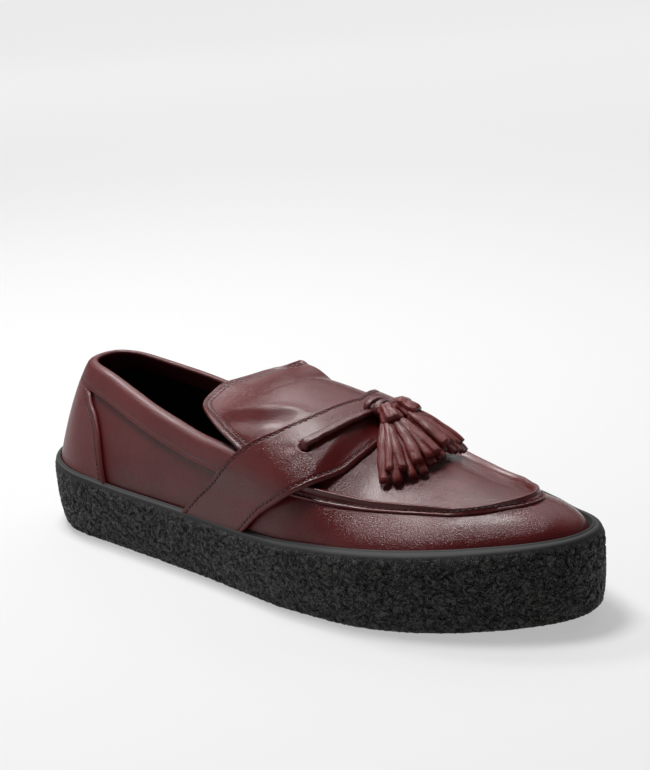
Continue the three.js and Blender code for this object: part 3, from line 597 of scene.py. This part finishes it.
def crepe(name, ground, crease_shade_colour, lip):
    """Black rubber whose side is broken by short creases that painted shade darkens. The attribute
    crepe fades them.
    """
    finish = Finish(name)
    share = finish.node("ShaderNodeAttribute", {"attribute_name": "crepe"}, {}, "Fac")
    coarse = finish.noise(290, 1, 0.4, 0.9)
    small = finish.noise(560, 1, 0.4, 0.7)
    grit = finish.noise(1700, 2, 0.6)
    coarse_crease = 1 - (coarse - 0.5).size().step(0.0, 0.075)
    small_crease = 1 - (small - 0.5).size().step(0.0, 0.08)
    crease = (coarse_crease * 0.7 + small_crease * 0.6) * share
    # Painted shade: the creases take the dark second colour where shade would fall in them.
    crease_shade_tone = finish.blend(crease.step(0.12, 0.8), ground, crease_shade_colour)
    tone = finish.blend(share, lip, crease_shade_tone)
    bump = finish.bump(grit * share * 0.3 - crease, 1.0, 0.0016)
    rough = 0.72 - share * 0.3 + crease * 0.3 + (grit - 0.5) * 0.3 * share
    return finish.set(Base_Color=tone, Roughness=rough, Normal=bump, Specular_IOR_Level=0.42)


def waxed_thread(name, base, rough):
    finish = Finish(name)
    bump = finish.bump(finish.noise(600, 3, 0.6), 0.15, 0.0003)
    return finish.set(Base_Color=base, Roughness=rough, Normal=bump)


calf = leather("oxblood_calf", colour(0.086, 0.0088, 0.0096), colour(0.06, 0.0055, 0.0062))
strap_calf = leather(
    "strap_calf", colour(0.086, 0.008, 0.0086), colour(0.062, 0.0055, 0.006), gloss=0.17
)
tongue_calf = leather(
    "tongue_calf", colour(0.088, 0.0092, 0.01), colour(0.064, 0.0062, 0.007), gloss=0.2
)
collar_calf = leather(
    "collar_calf",
    colour(0.092, 0.0125, 0.0135),
    colour(0.066, 0.0085, 0.0095),
    gloss=0.36,
    coat=0.1,
)
counter_calf = leather(
    "counter_calf",
    colour(0.105, 0.0155, 0.017),
    colour(0.08, 0.0115, 0.0125),
    gloss=0.36,
    coat=0.15,
)
seam_calf = leather(
    "seam_calf", colour(0.092, 0.009, 0.0098), colour(0.066, 0.006, 0.0068), gloss=0.2, coat=0.3
)
cord_calf = leather(
    "cord_calf", colour(0.09, 0.0105, 0.0115), colour(0.052, 0.0065, 0.007), gloss=0.26
)
tassel_calf = leather(
    "tassel_calf", colour(0.17, 0.02, 0.019), colour(0.09, 0.01, 0.0095), gloss=0.24, grain=1.3
)
lining = leather(
    "dark_lining", colour(0.014, 0.006, 0.005), colour(0.008, 0.004, 0.0035), gloss=0.65, coat=0.0
)
thread = waxed_thread("waxed_thread", colour(0.022, 0.0035, 0.0035), 0.4)
rubber = crepe(
    "crepe_rubber",
    colour(0.027, 0.0278, 0.0255),
    # The second colour is painted shade for the creases.
    colour(0.0012, 0.0013, 0.0011),
    colour(0.005, 0.0052, 0.0048),
)


# Cup sole


LEATHER_CLEARANCE = 0.3
CREPE_TOP, CREPE_FADE = 0.955, 0.06


def sole_bottom(at):
    return TOE_SPRING * (np.maximum(at - ROCKER_AT, 0) / (1 - ROCKER_AT)) ** 2


def leather_line(at):
    return shoulder(at) - LEATHER_CLEARANCE


def cup_floor(at):
    return sole_top(at) - CUP_DEPTH - LEATHER_CLEARANCE


(tuck_share, setback_share) = table(
    (0.0, 1.0, 0.0),
    (0.02, 0.8, 0.0),
    (0.06, 0.62, 0.0),
    (0.22, 0.3, 0.0),
    (0.5, 0.06, 0.0),
    (0.8, 0.0, 0.0),
    (0.92, 0.0, 0.12),
    (0.98, 0.0, 0.42),
    (1.0, 0.0, 0.8),
)
LIP_SECTION = (
    (0.9, -0.25),
    (0.62, 0.15),
    (0.4, 0.8),
    (0.15, 1.0),
    (0.0, 0.7),
)
TUCK_UNDER = 3.0
CRINKLE_DEPTH, CRINKLE_LENGTH, CRINKLE_SEED = 0.75, 3.6, 7


def crinkle(spots, outward, share):
    """Presses short creases into the crepe side, fading to nothing at share 0."""
    for index in np.ndindex(spots.shape[:2]):
        place = Vector(spots[index]) / CRINKLE_LENGTH
        place += noise.noise_vector(place * 0.8) * 0.5
        crease = math.exp(-((noise.noise(place) / 0.13) ** 2))
        fine = math.exp(-((noise.noise(place * 1.9) / 0.15) ** 2))
        spots[index] += outward[index] * CRINKLE_DEPTH * (0.6 - crease - 0.5 * fine) * share[index]
    return spots


def build_sole():
    noise.seed_set(CRINKLE_SEED)
    bm = bmesh.new()
    crepe_share = bm.verts.layers.float.new("crepe")
    walk = np.linspace(0, 1, 601)
    low_rows, high_rows = [0, 0.01, 0.025], [0.965, 0.98, 0.992, 1.0]
    rise = np.concatenate([low_rows, np.linspace(0.045, 0.95, 50), high_rows])
    w, h = np.meshgrid(walk, rise, indexing="ij")
    crepe_rows = np.clip(np.minimum((h + 0.02) / 0.05, (CREPE_TOP - h) / CREPE_FADE), 0, 1)
    ends = np.clip(np.minimum(w, 1 - w) / 0.004, 0, 1)

    def wall_inset(at):
        setback = setback_share(h) * (leather_line(at) - LIP_WIDTH)
        return tuck_share(h) * TUCK_UNDER + setback

    def lip_row(side, inset, height):
        _, x, y = outline_point(walk, side, inset)
        return np.stack([x, y, height(station(x))], -1)

    for side in (LATERAL, MEDIAL):
        _, x, y = outline_point(w, side, wall_inset)
        z = lerp(sole_bottom(station(x)), sole_top(station(x)), h)
        wall = np.stack([x, y, z], -1)
        made = lay_skin(bm, crinkle(wall, normals_of(wall), crepe_rows * ends))
        for vert, share in zip(made, crepe_rows.swapaxes(0, 1).ravel()):
            vert[crepe_share] = share
        rows = [lip_row(side, lambda at: 0.8 * (leather_line(at) - LIP_WIDTH), sole_top)]
        for back, lift in LIP_SECTION:
            rows.append(
                lip_row(
                    side,
                    lambda at: leather_line(at) - back * LIP_WIDTH,
                    lambda at: sole_top(at) + lift * LIP_HEIGHT,
                )
            )
        rows.append(lip_row(side, leather_line, cup_floor))
        lay_skin(bm, np.array(rows).swapaxes(0, 1))
    for inset, height in ((lambda at: TUCK_UNDER, sole_bottom), (leather_line, cup_floor)):
        left, right = (lip_row(side, inset, height) for side in (LATERAL, MEDIAL))
        spots = [lerp(left, right, share) for share in np.linspace(0, 1, 13)]
        lay_skin(bm, np.array(spots).swapaxes(0, 1))
    return finish_piece("crepe_cup_sole", bm, rubber, ["cup_sole"])


# Upper: outer leather and lining


def rim_climb(walk, side, grow, drop):
    """Where the leather ends: the collar line behind the throat, the crown in front of it."""
    x = last(walk, side, 0.5, grow)[..., 0]
    collar = climb_to(walk, side, grow, lambda at_x: collar_height(at_x) - drop)
    return lerp(collar, 1.0, ease(x, -0.02 * SHOE_LENGTH, THROAT_X + 2))


def build_shell(name, outer, inner, drop, material, replaced=()):
    bm = bmesh.new()
    walk, share = np.meshgrid(np.linspace(0, 1, 261), np.linspace(0, 1, 49), indexing="ij")
    for side in (LATERAL, MEDIAL):
        top = rim_climb(walk, side, outer, drop)
        lay_skin(bm, last(walk, side, share * top, outer))
    bmesh.ops.remove_doubles(bm, verts=bm.verts, dist=WELD_DISTANCE)
    bmesh.ops.recalc_face_normals(bm, faces=bm.faces)
    centre = Vector((0, 0, 0.04))
    outward = sum(face.normal.dot(face.calc_center_median() - centre) for face in bm.faces)
    if outward < 0:
        bmesh.ops.reverse_faces(bm, faces=bm.faces)
    bmesh.ops.solidify(bm, geom=bm.faces[:], thickness=(outer - inner) * MM)
    return finish_piece(name, bm, material, replaced)


# Panels over the upper

PANEL_TUCK = 3.0
STRAP_SETTLE = 3.4
FOLD_X, FOLD_Y = (-40, -15, 3, 15, 30), (-19.5, -22.5, -21.5, -17, -11.5)
BAND_WIDTH, BAND_INSIDE, BAND_TURN = 9.5, 9.0, 1.85
STRAP_STITCHES, BAND_STITCHES, SEAM_STITCHES = 2.3, 1.9, 1.7
TONGUE_STITCHES, COUNTER_STITCHES = (2.4, 4.4), (2.3, 3.9)

def stitch_relief(edges, groove, bead=0.0, depth=0.34, bead_at=0.9):
    """A pressed groove under each stitch line, and a bead along the edge."""

    def relief(reach, u, v):
        lift = 0.0
        for edge in edges:
            distance = reach[edge]
            lift = lift - depth * np.exp(-(((distance - groove) / 0.55) ** 2))
            lift = lift + bead * np.exp(-(((distance - bead_at) / 0.8) ** 2))
        return lift

    return relief


def strap_place(u, v, lift):
    """u from the outer foot of the strap to the inner one, v from its rear edge to its front."""
    side = np.where(u < 0.5, LATERAL, MEDIAL)
    rise = 1 - np.abs(2 * u - 1)
    foot_x = lerp(strap_rear(0.08), strap_front(0.08), v)
    foot_walk = walk_at(foot_x, OVERLAY_GAP)
    foot = climb_to(foot_walk, side, OVERLAY_GAP, lambda x: lip_top(x) - PANEL_TUCK)
    climb = lerp(foot, 1.0, rise)
    x = lerp(strap_rear(climb), strap_front(climb), v)
    settle = STRAP_SETTLE * ease(x, TONGUE_FRONT + 1, TONGUE_FRONT + 9) * ease(climb, 0.35, 0.6)
    grow = strap_grow(climb) - settle + lift
    return over_crown(np.where(side < 0, -(1 - climb), 1 - climb), x, grow)


def tongue_place(u, v, lift):
    """u along the tongue's end from the outer side to the inner, v from that end to the front."""
    across_end, x_end = TONGUE_OUTLINE(u)
    across_front = lerp(-(1 - TONGUE_EDGE_CLIMB), 1 - TONGUE_EDGE_CLIMB, u)
    across = lerp(across_end, across_front, v)
    x = lerp(x_end, TONGUE_FRONT, v)
    grow = OVERLAY_GAP + lift
    spot = over_crown(across, x, grow)
    climb = 1 - np.abs(across)
    held = np.minimum(strap_rear(climb), THROAT_X) - TONGUE_HOLD
    free = ease(held - x, 0, TONGUE_FREE_LENGTH)
    level = ease(held - x, 0, TONGUE_FLAT_LENGTH)
    top = ease(climb, 0.5, 0.85)
    sink = TONGUE_SINK * free
    ridge = over_crown(np.zeros_like(across), x, grow)
    flat = ridge[..., 2] - sink + TONGUE_TILT * (spot[..., 1] - ridge[..., 1]) * level
    bent = spot[..., 2] - sink * top
    spot[..., 2] = np.where(across < 0, bent, lerp(bent, flat, level))
    return spot


def tongue_relief(reach, u, v):
    """A thin rolled rim, a groove under each of two stitch rows, and a soft ridge and trough along
    the outer side.
    """
    edge = reach["rear"]
    rim = 0.55 * np.exp(-(((edge - 0.9) / 0.55) ** 2))
    rows = 0.32 * sum(np.exp(-(((edge - inset) / 0.5) ** 2)) for inset in TONGUE_STITCHES)
    spots = tongue_place(u, v, TONGUE_THICKNESS)
    off = spots[..., 1] - np.interp(spots[..., 0], FOLD_X, FOLD_Y)
    along = ease(spots[..., 0], -30, -14) * ease(-spots[..., 0], -26, -10)
    fold = 1.25 * np.exp(-((off / 3.0) ** 2)) - 0.7 * np.exp(-(((off + 7.0) / 3.0) ** 2))
    return rim - rows + fold * along


def tongue_outline():
    """The tongue's end as even steps along its edge, so that the corners stay smooth."""
    climb = np.linspace(TONGUE_EDGE_CLIMB, 1, 160)
    across = np.concatenate([climb - 1, 1 - climb[-2::-1]])
    ends = [lateral_tongue_share(climb), medial_tongue_share(climb[-2::-1])]
    x = SHOE_LENGTH * np.concatenate(ends)
    spots = over_crown(across, x, TONGUE_TOP)
    length = np.concatenate([[0], np.cumsum(np.linalg.norm(np.diff(spots, axis=0), axis=1))])
    even = np.linspace(0, 1, 321)
    reach = 24
    soft = np.exp(-((np.arange(-reach, reach + 1) / 11) ** 2))
    rounded = []
    for values in (across, x):
        values = np.interp(even, length / length[-1], values)
        values = np.pad(values, reach, mode="reflect", reflect_type="odd")
        rounded.append(np.convolve(values, soft / soft.sum(), mode="valid"))
    return lambda u: (np.interp(u, even, rounded[0]), np.interp(u, even, rounded[1]))


TONGUE_OUTLINE = tongue_outline()


def round_heel(u):
    """Side and share of the way to the strap, for u from the inner end round to the outer."""
    return np.where(u < 0.5, MEDIAL, LATERAL), np.abs(2 * u - 1)


def counter_place(u, v, lift):
    side, share = round_heel(u)
    grow = OVERLAY_GAP + lift
    low_walk = walk_at(counter_edge(0.1), grow) * share
    low = climb_to(low_walk, side, grow, lambda x: lip_top(x) - PANEL_TUCK)
    climb = np.full(np.shape(u), 0.5)
    for _ in range(4):
        walk = walk_at(counter_edge(climb), grow) * share
        high = climb_to(walk, side, grow, lambda x: collar_height(x) - BAND_WIDTH - 0.2)
        climb = lerp(low, high, v)
    return last(walk, side, climb, grow)


def band_section(v):
    """Height from the collar line, growth, and their outward directions, round the rim."""
    straight, turn, inside = BAND_WIDTH - 1.8, math.pi * BAND_TURN, BAND_INSIDE
    run = v * (straight + turn + inside)
    angle = np.clip((run - straight) / BAND_TURN, 0, math.pi)
    height = -BAND_WIDTH + np.minimum(run, straight) + BAND_TURN * np.sin(angle)
    height = height - np.maximum(run - straight - turn, 0)
    growth = 1.0 - BAND_TURN * (1 - np.cos(angle))
    return height, growth, np.sin(angle), np.cos(angle)


def band_place(u, v, lift):
    side, share = round_heel(u)
    height, growth, up, out = band_section(v)
    off = lift - 0.5
    height, grow = height + up * off, growth + out * off
    climb = np.full(np.shape(u), 0.4)
    for _ in range(3):
        walk = walk_at(strap_rear(climb) + 2.5, grow) * share
        climb = climb_to(walk, side, grow, lambda x: collar_height(x) + height)
    return last(walk, side, climb, grow)


def seam_place(u, v, lift):
    """u round the toe from the outer strap edge to the inner, v from the outer side inward."""
    side = np.where(u < 0.5, LATERAL, MEDIAL)
    share = 1 - np.abs(2 * u - 1)
    grow = lift - 0.75 * ease(v, 0.84, 1.0) - 0.35 * ease(-v, -0.14, 0.0)
    climb = np.full(np.shape(u), 0.35)
    for _ in range(4):
        walk = lerp(walk_at(strap_front(climb) - 6, grow), 1.0, share)
        at = (1 - np.cos(np.pi * walk)) / 2
        climb = lerp(seam_outer(at), seam_inner(at), v) + (side > 0) * seam_medial_rise(at)
    return last(walk, side, climb, grow)


def seam_relief(reach, u, v):
    """A narrow ridge near the inner side, a face that falls outward, and a groove for stitches."""
    inner, outer = reach["front"], reach["rear"]
    ridge = 1.2 * np.exp(-(((inner - 2.0) / 0.95) ** 2))
    face = 0.6 * ease(-inner, -4.8, -2.2)
    groove = 0.4 * np.exp(-(((outer - SEAM_STITCHES) / 0.45) ** 2))
    return ridge + face - groove


# Lace, knot and tassels

SLOT_HALF_LENGTH, SLOT_HALF_WIDTH = 2.6, 2.6
LACE_LIFT, LACE_HALF_WIDTH, LACE_HALF_HEIGHT = 1.35, 2.35, 1.3
LACE_TURN = ((-0.004, -1.9), (-0.001, -0.9), (0.004, 0.35), (0.011, 1.1))
KNOT_LOOPS = ((-1.4, 0.6, 1.0, 0.25), (2.2, 0.0, 0.95, -0.1), (5.4, -1.6, 0.8, -0.3))
KNOT_RADIUS = 4.5
CAP_RADIUS, STRIP_WIDTH = 4.3, 2.3
CAP_SECTION = (
    (-0.22, 0.3),
    (-0.2, 0.62),
    (-0.08, 0.84),
    (0.1, 0.92),
    (0.25, 0.8),
    (0.38, 0.95),
    (0.6, 1.04),
    (0.85, 1.1),
    (0.98, 1.02),
    (1.0, 0.8),
)

def on_strap(side, climb, lift):
    grow = strap_grow(climb) + STRAP_THICKNESS + lift
    return last(walk_at(lace_x(climb), grow), side, climb, grow)


def strap_relief(reach, u, v):
    """Stitch grooves, a slot for the lace at each side and soft pulls that run out of it."""
    stitched = stitch_relief(("rear", "front"), groove=STRAP_STITCHES, bead=0.18, bead_at=1.1)
    lift = stitched(reach, u, v)
    spots = strap_place(u, v, STRAP_THICKNESS)
    for side in (LATERAL, MEDIAL):
        centre, ahead = on_strap(side, HOLE_CLIMB, 0.0), on_strap(side, HOLE_CLIMB + 0.03, 0.0)
        along = (ahead - centre) / np.linalg.norm(ahead - centre)
        away = spots - centre
        run = away @ along
        off = np.linalg.norm(away - run[..., None] * along, axis=-1)
        oval = np.hypot((run - 0.8) / SLOT_HALF_LENGTH, off / SLOT_HALF_WIDTH)
        lift = lift - 1.8 * ease(-oval, -1.2, -0.8) + 0.16 * np.exp(-(((oval - 1.4) / 0.25) ** 2))
        fan = np.arctan2(off * np.sign(v - 0.55), -run)
        pulls = np.cos(fan * 5) * np.exp(-((np.hypot(run, off) - 6) / 5) ** 2)
        lift = lift + 0.16 * pulls * ease(-run, 0.0, 4.0)
    return lift


def build_lace():
    """The flat cord from slot to slot, and its loops round the crest."""
    bm = bmesh.new()
    climbs = np.linspace(HOLE_CLIMB + 0.02, 1, 40)
    for side in (LATERAL, MEDIAL):
        over = on_strap(side, climbs, LACE_LIFT)
        normals = over - on_strap(side, climbs, 0.0)
        normals /= np.linalg.norm(normals, axis=1, keepdims=True)
        bend = [on_strap(side, HOLE_CLIMB + ahead, lift) for ahead, lift in LACE_TURN]
        centres = np.concatenate([bend, over])
        along = np.gradient(centres, axis=0)
        along /= np.linalg.norm(along, axis=1, keepdims=True)
        upright = np.array([[0.2], [0.35], [0.6], [0.85]])
        leaning = np.array([[0.9], [0.8], [0.5], [0.2]])
        guide = np.concatenate([normals[:1] * upright - along[-1] * leaning, normals])
        across = np.cross(along, guide)
        across /= np.linalg.norm(across, axis=1, keepdims=True)
        ups = np.cross(across, along)
        place = np.arange(len(centres))
        stops = [0, 2, 5, place[-10], place[-1]]
        width = np.interp(place, stops, [0.7, 0.8, 1, 1, 0.72])
        lump = 1 + 0.06 * np.sin(place * 0.9) + 0.04 * np.sin(place * 2.3)
        tube(
            bm,
            centres,
            across * (LACE_HALF_WIDTH * width * lump)[:, None],
            ups * LACE_HALF_HEIGHT,
            round_section(18, 0.3),
        )
    crest = on_strap(LATERAL, 1.0, 2.0)
    for shift, lift, size, tilt in KNOT_LOOPS:
        turns = np.linspace(0, 2 * math.pi, 29)
        reach = np.stack([np.cos(turns) * tilt, np.cos(turns), np.sin(turns) * 0.62], -1)
        centres = crest + np.array([shift, -1.2, lift]) + reach * KNOT_RADIUS * size
        outward = reach / np.linalg.norm(reach, axis=1, keepdims=True)
        along = np.gradient(centres, axis=0)
        along[0] = along[-1] = centres[1] - centres[-2]
        along /= np.linalg.norm(along, axis=1, keepdims=True)
        sideways = np.cross(along, outward)
        sideways /= np.linalg.norm(sideways, axis=1, keepdims=True)
        tube(bm, centres, sideways * 2.0 * size, outward * 1.15, round_section(14, 0.25))
    return finish_piece("lace_and_knot", bm, cord_calf, ["lace"])


def ground(x, y, grow):
    """Height of the last over a point of the plan."""
    crest_y = over_crown(0.0, x, grow)[..., 1]
    side = np.where(y < crest_y, LATERAL, MEDIAL)
    low, high = np.zeros(np.shape(x)), np.ones(np.shape(x))
    for _ in range(22):
        middle = (low + high) / 2
        inside = (last(walk_at(x, grow), side, middle, grow)[..., 1] - y) * side > 0
        low, high = np.where(inside, middle, low), np.where(inside, high, middle)
    return last(walk_at(x, grow), side, low, grow)[..., 2]


STRIP_SECTION = [
    (1.0, -0.1), (0.95, 0.35), (0.72, 0.74), (0.3, 0.93), (-0.12, 0.95), (-0.5, 0.84),
    (-0.86, 0.52), (-1.0, 0.05), (-0.9, -0.45), (-0.5, -0.72), (0.1, -0.8), (0.75, -0.6),
]


def flat_heading(degrees):
    return np.array([math.cos(math.radians(degrees)), math.sin(math.radians(degrees)), 0.0])


def build_tassel(name, aside, turn, spread, raised, layers, seed, replaced):
    """A gathered cap and cut strips that fan out and lie on the apron."""
    rng = random.Random(seed)
    bm = bmesh.new()
    root = on_strap(LATERAL, 1.0, 4.6) + np.array([7.2, aside, -1.6])
    cap_end = root + flat_heading(turn) * 7.4 + [0, 0, -4.2]
    down = (cap_end - root) / np.linalg.norm(cap_end - root)
    aside_axis = np.cross(down, [0, 0, 1.0])
    aside_axis /= np.linalg.norm(aside_axis)
    over = np.cross(aside_axis, down)
    length = np.linalg.norm(cap_end - root)
    centres = np.array([root + down * length * share for share, _ in CAP_SECTION])
    sizes = np.array([size for _, size in CAP_SECTION])[:, None] * CAP_RADIUS
    folds = [
        (math.cos(a) * (1 + 0.09 * math.cos(7 * a)), math.sin(a) * (1 + 0.09 * math.cos(7 * a)))
        for a in np.linspace(0, 2 * math.pi, 43)[:-1]
    ]
    tube(bm, centres, aside_axis * sizes, over * sizes * 0.92, folds)
    for count, share, reach, lift in layers:
        for n in range(count):
            place = (2 * n / (count - 1) - 1) * share
            angle = turn + place * spread + rng.uniform(-2.2, 2.2)
            away = flat_heading(angle)
            length = reach * rng.uniform(0.95, 1.04) * (1 - 0.08 * abs(place))
            start = root + down * 3.2 - aside_axis * place * 2.0 + over * (lift - 0.6)
            along = np.linspace(0, 1, 21)
            centres = start + away * (along * length)[:, None]
            width = STRIP_WIDTH * rng.uniform(0.88, 1.1)
            rest = ground(centres[:, 0], centres[:, 1], 0.3) + raised * along
            rest = rest + width * (0.75 + 1.5 * lift)
            fall = lerp(start[2], rest[-1], along) + 1.4 * np.sin(np.pi * along) * (1 - 0.4 * lift)
            centres[:, 2] = np.maximum(fall, rest)
            centres[:, 2] = np.where(along < 0.1, start[2], centres[:, 2])
            sway = rng.uniform(-0.9, 0.9) * np.sin(np.pi * along * 0.9)
            flank = np.array([away[1], -away[0], 0.0])
            centres += flank * sway[:, None]
            ripple = 0.16 * np.sin(along * rng.uniform(14, 22) + rng.uniform(0, 6))
            tangent = np.gradient(centres, axis=0)
            tangent /= np.linalg.norm(tangent, axis=1, keepdims=True)
            roll = math.radians(rng.uniform(-16, 16))
            sides = np.cross(tangent, [0, 0, 1.0])
            sides /= np.linalg.norm(sides, axis=1, keepdims=True)
            ups = np.cross(sides, tangent)
            across = sides * math.cos(roll) + ups * math.sin(roll)
            upward = ups * math.cos(roll) - sides * math.sin(roll)
            grow = np.interp(along, [0, 0.25, 0.7, 0.985, 1.0], [0.5, 0.86, 1.05, 1.02, 0.9])
            grow = grow[:, None] * (1 + ripple[:, None] * 0.4)
            upward = upward * width * 0.78 * grow
            tube(bm, centres, across * width * grow, upward, STRIP_SECTION)
    return finish_piece(name, bm, tassel_calf, replaced)


# Put the shoe together

build_sole()
build_shell("vamp_and_quarters", 0.0, -1.0, 1.2, calf, ["upper"])
build_shell("lining", -1.1, -UPPER_WALL - 0.1, 1.4, lining)


def sock_inset(at):
    return shoulder(at) + UPPER_WALL + 0.35


def sock_place(u, v, lift):
    _, x, left = outline_point(u, LATERAL, sock_inset)
    _, _, right = outline_point(u, MEDIAL, sock_inset)
    sag = 0.9 * np.sin(np.pi * v) * ease(u, 0.0, 0.1)
    return np.stack([x, lerp(left, right, v), sole_top(station(x)) - CUP_DEPTH + lift - sag], -1)


sock = Panel(sock_place, np.linspace(0, 1, 121), np.linspace(0, 1, 21), 3.5)
sock.build("sock", lining, ["insole"])

strap = Panel(
    strap_place,
    np.linspace(0, 1, 321),
    marks(34, 5, 0.35, 0.9),
    STRAP_THICKNESS,
    strap_relief,
)
strap.build("saddle_strap_leather", strap_calf, ["saddle_strap"])

tongue = Panel(
    tongue_place,
    np.linspace(0, 1, 221),
    marks(72, 6, 0.4, 1.6),
    TONGUE_THICKNESS,
    tongue_relief,
)
tongue.build("tongue_leather", tongue_calf, ["tongue"])

counter = Panel(
    counter_place,
    marks(130, 6, 0.4, 1.3),
    np.linspace(0, 1, 49),
    1.0,
    stitch_relief(("start", "end"), groove=2.6, bead=0.85, bead_at=1.1, depth=0.2),
)
counter.build("heel_counter_leather", counter_calf, ["heel_counter"])

band = Panel(
    band_place,
    np.linspace(0, 1, 281),
    marks(22.5, 4, 0.35, 0.6),
    1.0,
    stitch_relief(("rear",), groove=BAND_STITCHES, depth=0.2),
)
band.build("collar_band_leather", collar_calf, ["collar_band"])

seam = Panel(seam_place, np.linspace(0, 1, 361), np.linspace(0, 1, 43), 1.0, seam_relief)
seam.build("apron_seam_leather", seam_calf, ["apron_seam"])

build_lace()
outer_strips = ((6, 1.0, 27.5, 0.0), (5, 0.86, 26, 1.0))
inner_strips = ((5, 1.0, 25, 0.0), (4, 0.8, 24, 1.0))
build_tassel("tassel_outer", -4.4, -26, 27, 0.0, outer_strips, 5, ["tassel_lateral"])
build_tassel("tassel_inner", 4.2, 12, 19, 1.0, inner_strips, 11, ["tassel_medial"])

stitches = bmesh.new()
for edge in ("rear", "front"):
    line = strap.line(edge, STRAP_STITCHES)
    sew(stitches, *line, start=2, end=2, pitch=2.5, length=1.6, rise=0.16)
for inset in TONGUE_STITCHES:
    line = tongue.line("rear", inset)
    sew(stitches, *line, start=2, end=2, pitch=2.4, length=1.6, rise=0.1)
for edge in ("start", "end"):
    for inset in COUNTER_STITCHES:
        sew(stitches, *counter.line(edge, inset), start=2, end=1, pitch=2.2, width=0.5)
line = band.line("rear", BAND_STITCHES)
sew(stitches, *line, start=2, end=2, pitch=2.3, width=0.45, rise=0.05)
line = seam.line("rear", SEAM_STITCHES)
sew(stitches, *line, start=3, end=3, pitch=2.6, length=1.7, width=0.7, rise=0.2)
finish_piece("stitching", stitches, thread)


# Floor, light and camera


def build_floor():
    bm = bmesh.new()
    bmesh.ops.create_grid(bm, x_segments=1, y_segments=1, size=8.0)
    mesh = bpy.data.meshes.new("floor")
    bm.to_mesh(mesh)
    bm.free()
    floor = bpy.data.objects.new("floor", mesh)
    bpy.context.scene.collection.objects.link(floor)
    paper = Finish("pale_floor")
    reach = paper.node("ShaderNodeVectorMath", {"operation": "LENGTH"}, {0: paper.place}, "Value")
    away = reach.step(0.5, 2.3)
    mesh.materials.append(
        paper.set(
            Base_Color=colour(0.27, 0.27, 0.27),
            Roughness=0.8,
            Specular_IOR_Level=0.1,
            Emission_Color=paper.blend(away, colour(0.43, 0.43, 0.43), colour(0.8, 0.8, 0.8)),
            Emission_Strength=1.0,
        )
    )


def soft_light(name, place, target, size, power):
    lamp = bpy.data.lights.new(name, "AREA")
    lamp.shape = "RECTANGLE"
    lamp.size, lamp.size_y = size
    lamp.energy = power
    holder = bpy.data.objects.new(name, lamp)
    bpy.context.scene.collection.objects.link(holder)
    holder.location = place
    holder.rotation_euler = (Vector(target) - Vector(place)).to_track_quat("-Z", "Y").to_euler()
    holder.visible_camera = False


build_floor()
soft_light("overhead", (-0.25, 0.03, 1.2), (0.0, 0.0, 0.04), (0.4, 0.32), 18)
soft_light("tongue_light", (-0.72, 0.19, 0.95), (0.0, 0.0, 0.06), (0.24, 0.24), 7)
soft_light("heel_fill", (-1.1, -0.9, 0.6), (0.0, 0.0, 0.04), (1.2, 0.8), 3.2)
soft_light("back_panel", (-0.5, 1.3, 1.15), (0.0, 0.0, 0.05), (2.2, 0.9), 12)

world = bpy.data.worlds.new("studio")
world.use_nodes = True
world.node_tree.nodes["Background"].inputs["Color"].default_value = colour(1.0, 1.0, 1.0)
world.node_tree.nodes["Background"].inputs["Strength"].default_value = 0.1
bpy.context.scene.world = world
bpy.context.scene.view_settings.view_transform = "Standard"

AZIMUTH, ELEVATION, ROLL = math.radians(43.24), math.radians(15.95), math.radians(-4.81)
DISTANCE = 0.87892
TARGET = Vector((-0.04091, 0.06148, 0.05706))
PHOTO_HEIGHT_PX, FOCAL_PX = 770, 1854.43

back = Vector(
    (
        math.sin(AZIMUTH) * math.cos(ELEVATION),
        -math.cos(AZIMUTH) * math.cos(ELEVATION),
        math.sin(ELEVATION),
    )
)
level_right = (-back).cross(Vector((0, 0, 1))).normalized()
level_up = level_right.cross(-back)
right = level_right * math.cos(ROLL) + level_up * math.sin(ROLL)
up = level_up * math.cos(ROLL) - level_right * math.sin(ROLL)
lens = bpy.data.cameras.new("camera")
lens.sensor_width = 36.0
lens.lens = FOCAL_PX / PHOTO_HEIGHT_PX * lens.sensor_width
lens.clip_start = 0.01
camera = bpy.data.objects.new("camera", lens)
bpy.context.scene.collection.objects.link(camera)
facing = Matrix((right, up, back)).transposed().to_4x4()
camera.matrix_world = Matrix.Translation(TARGET + back * DISTANCE) @ facing
bpy.context.scene.camera = camera

bpy.context.view_layer.update()
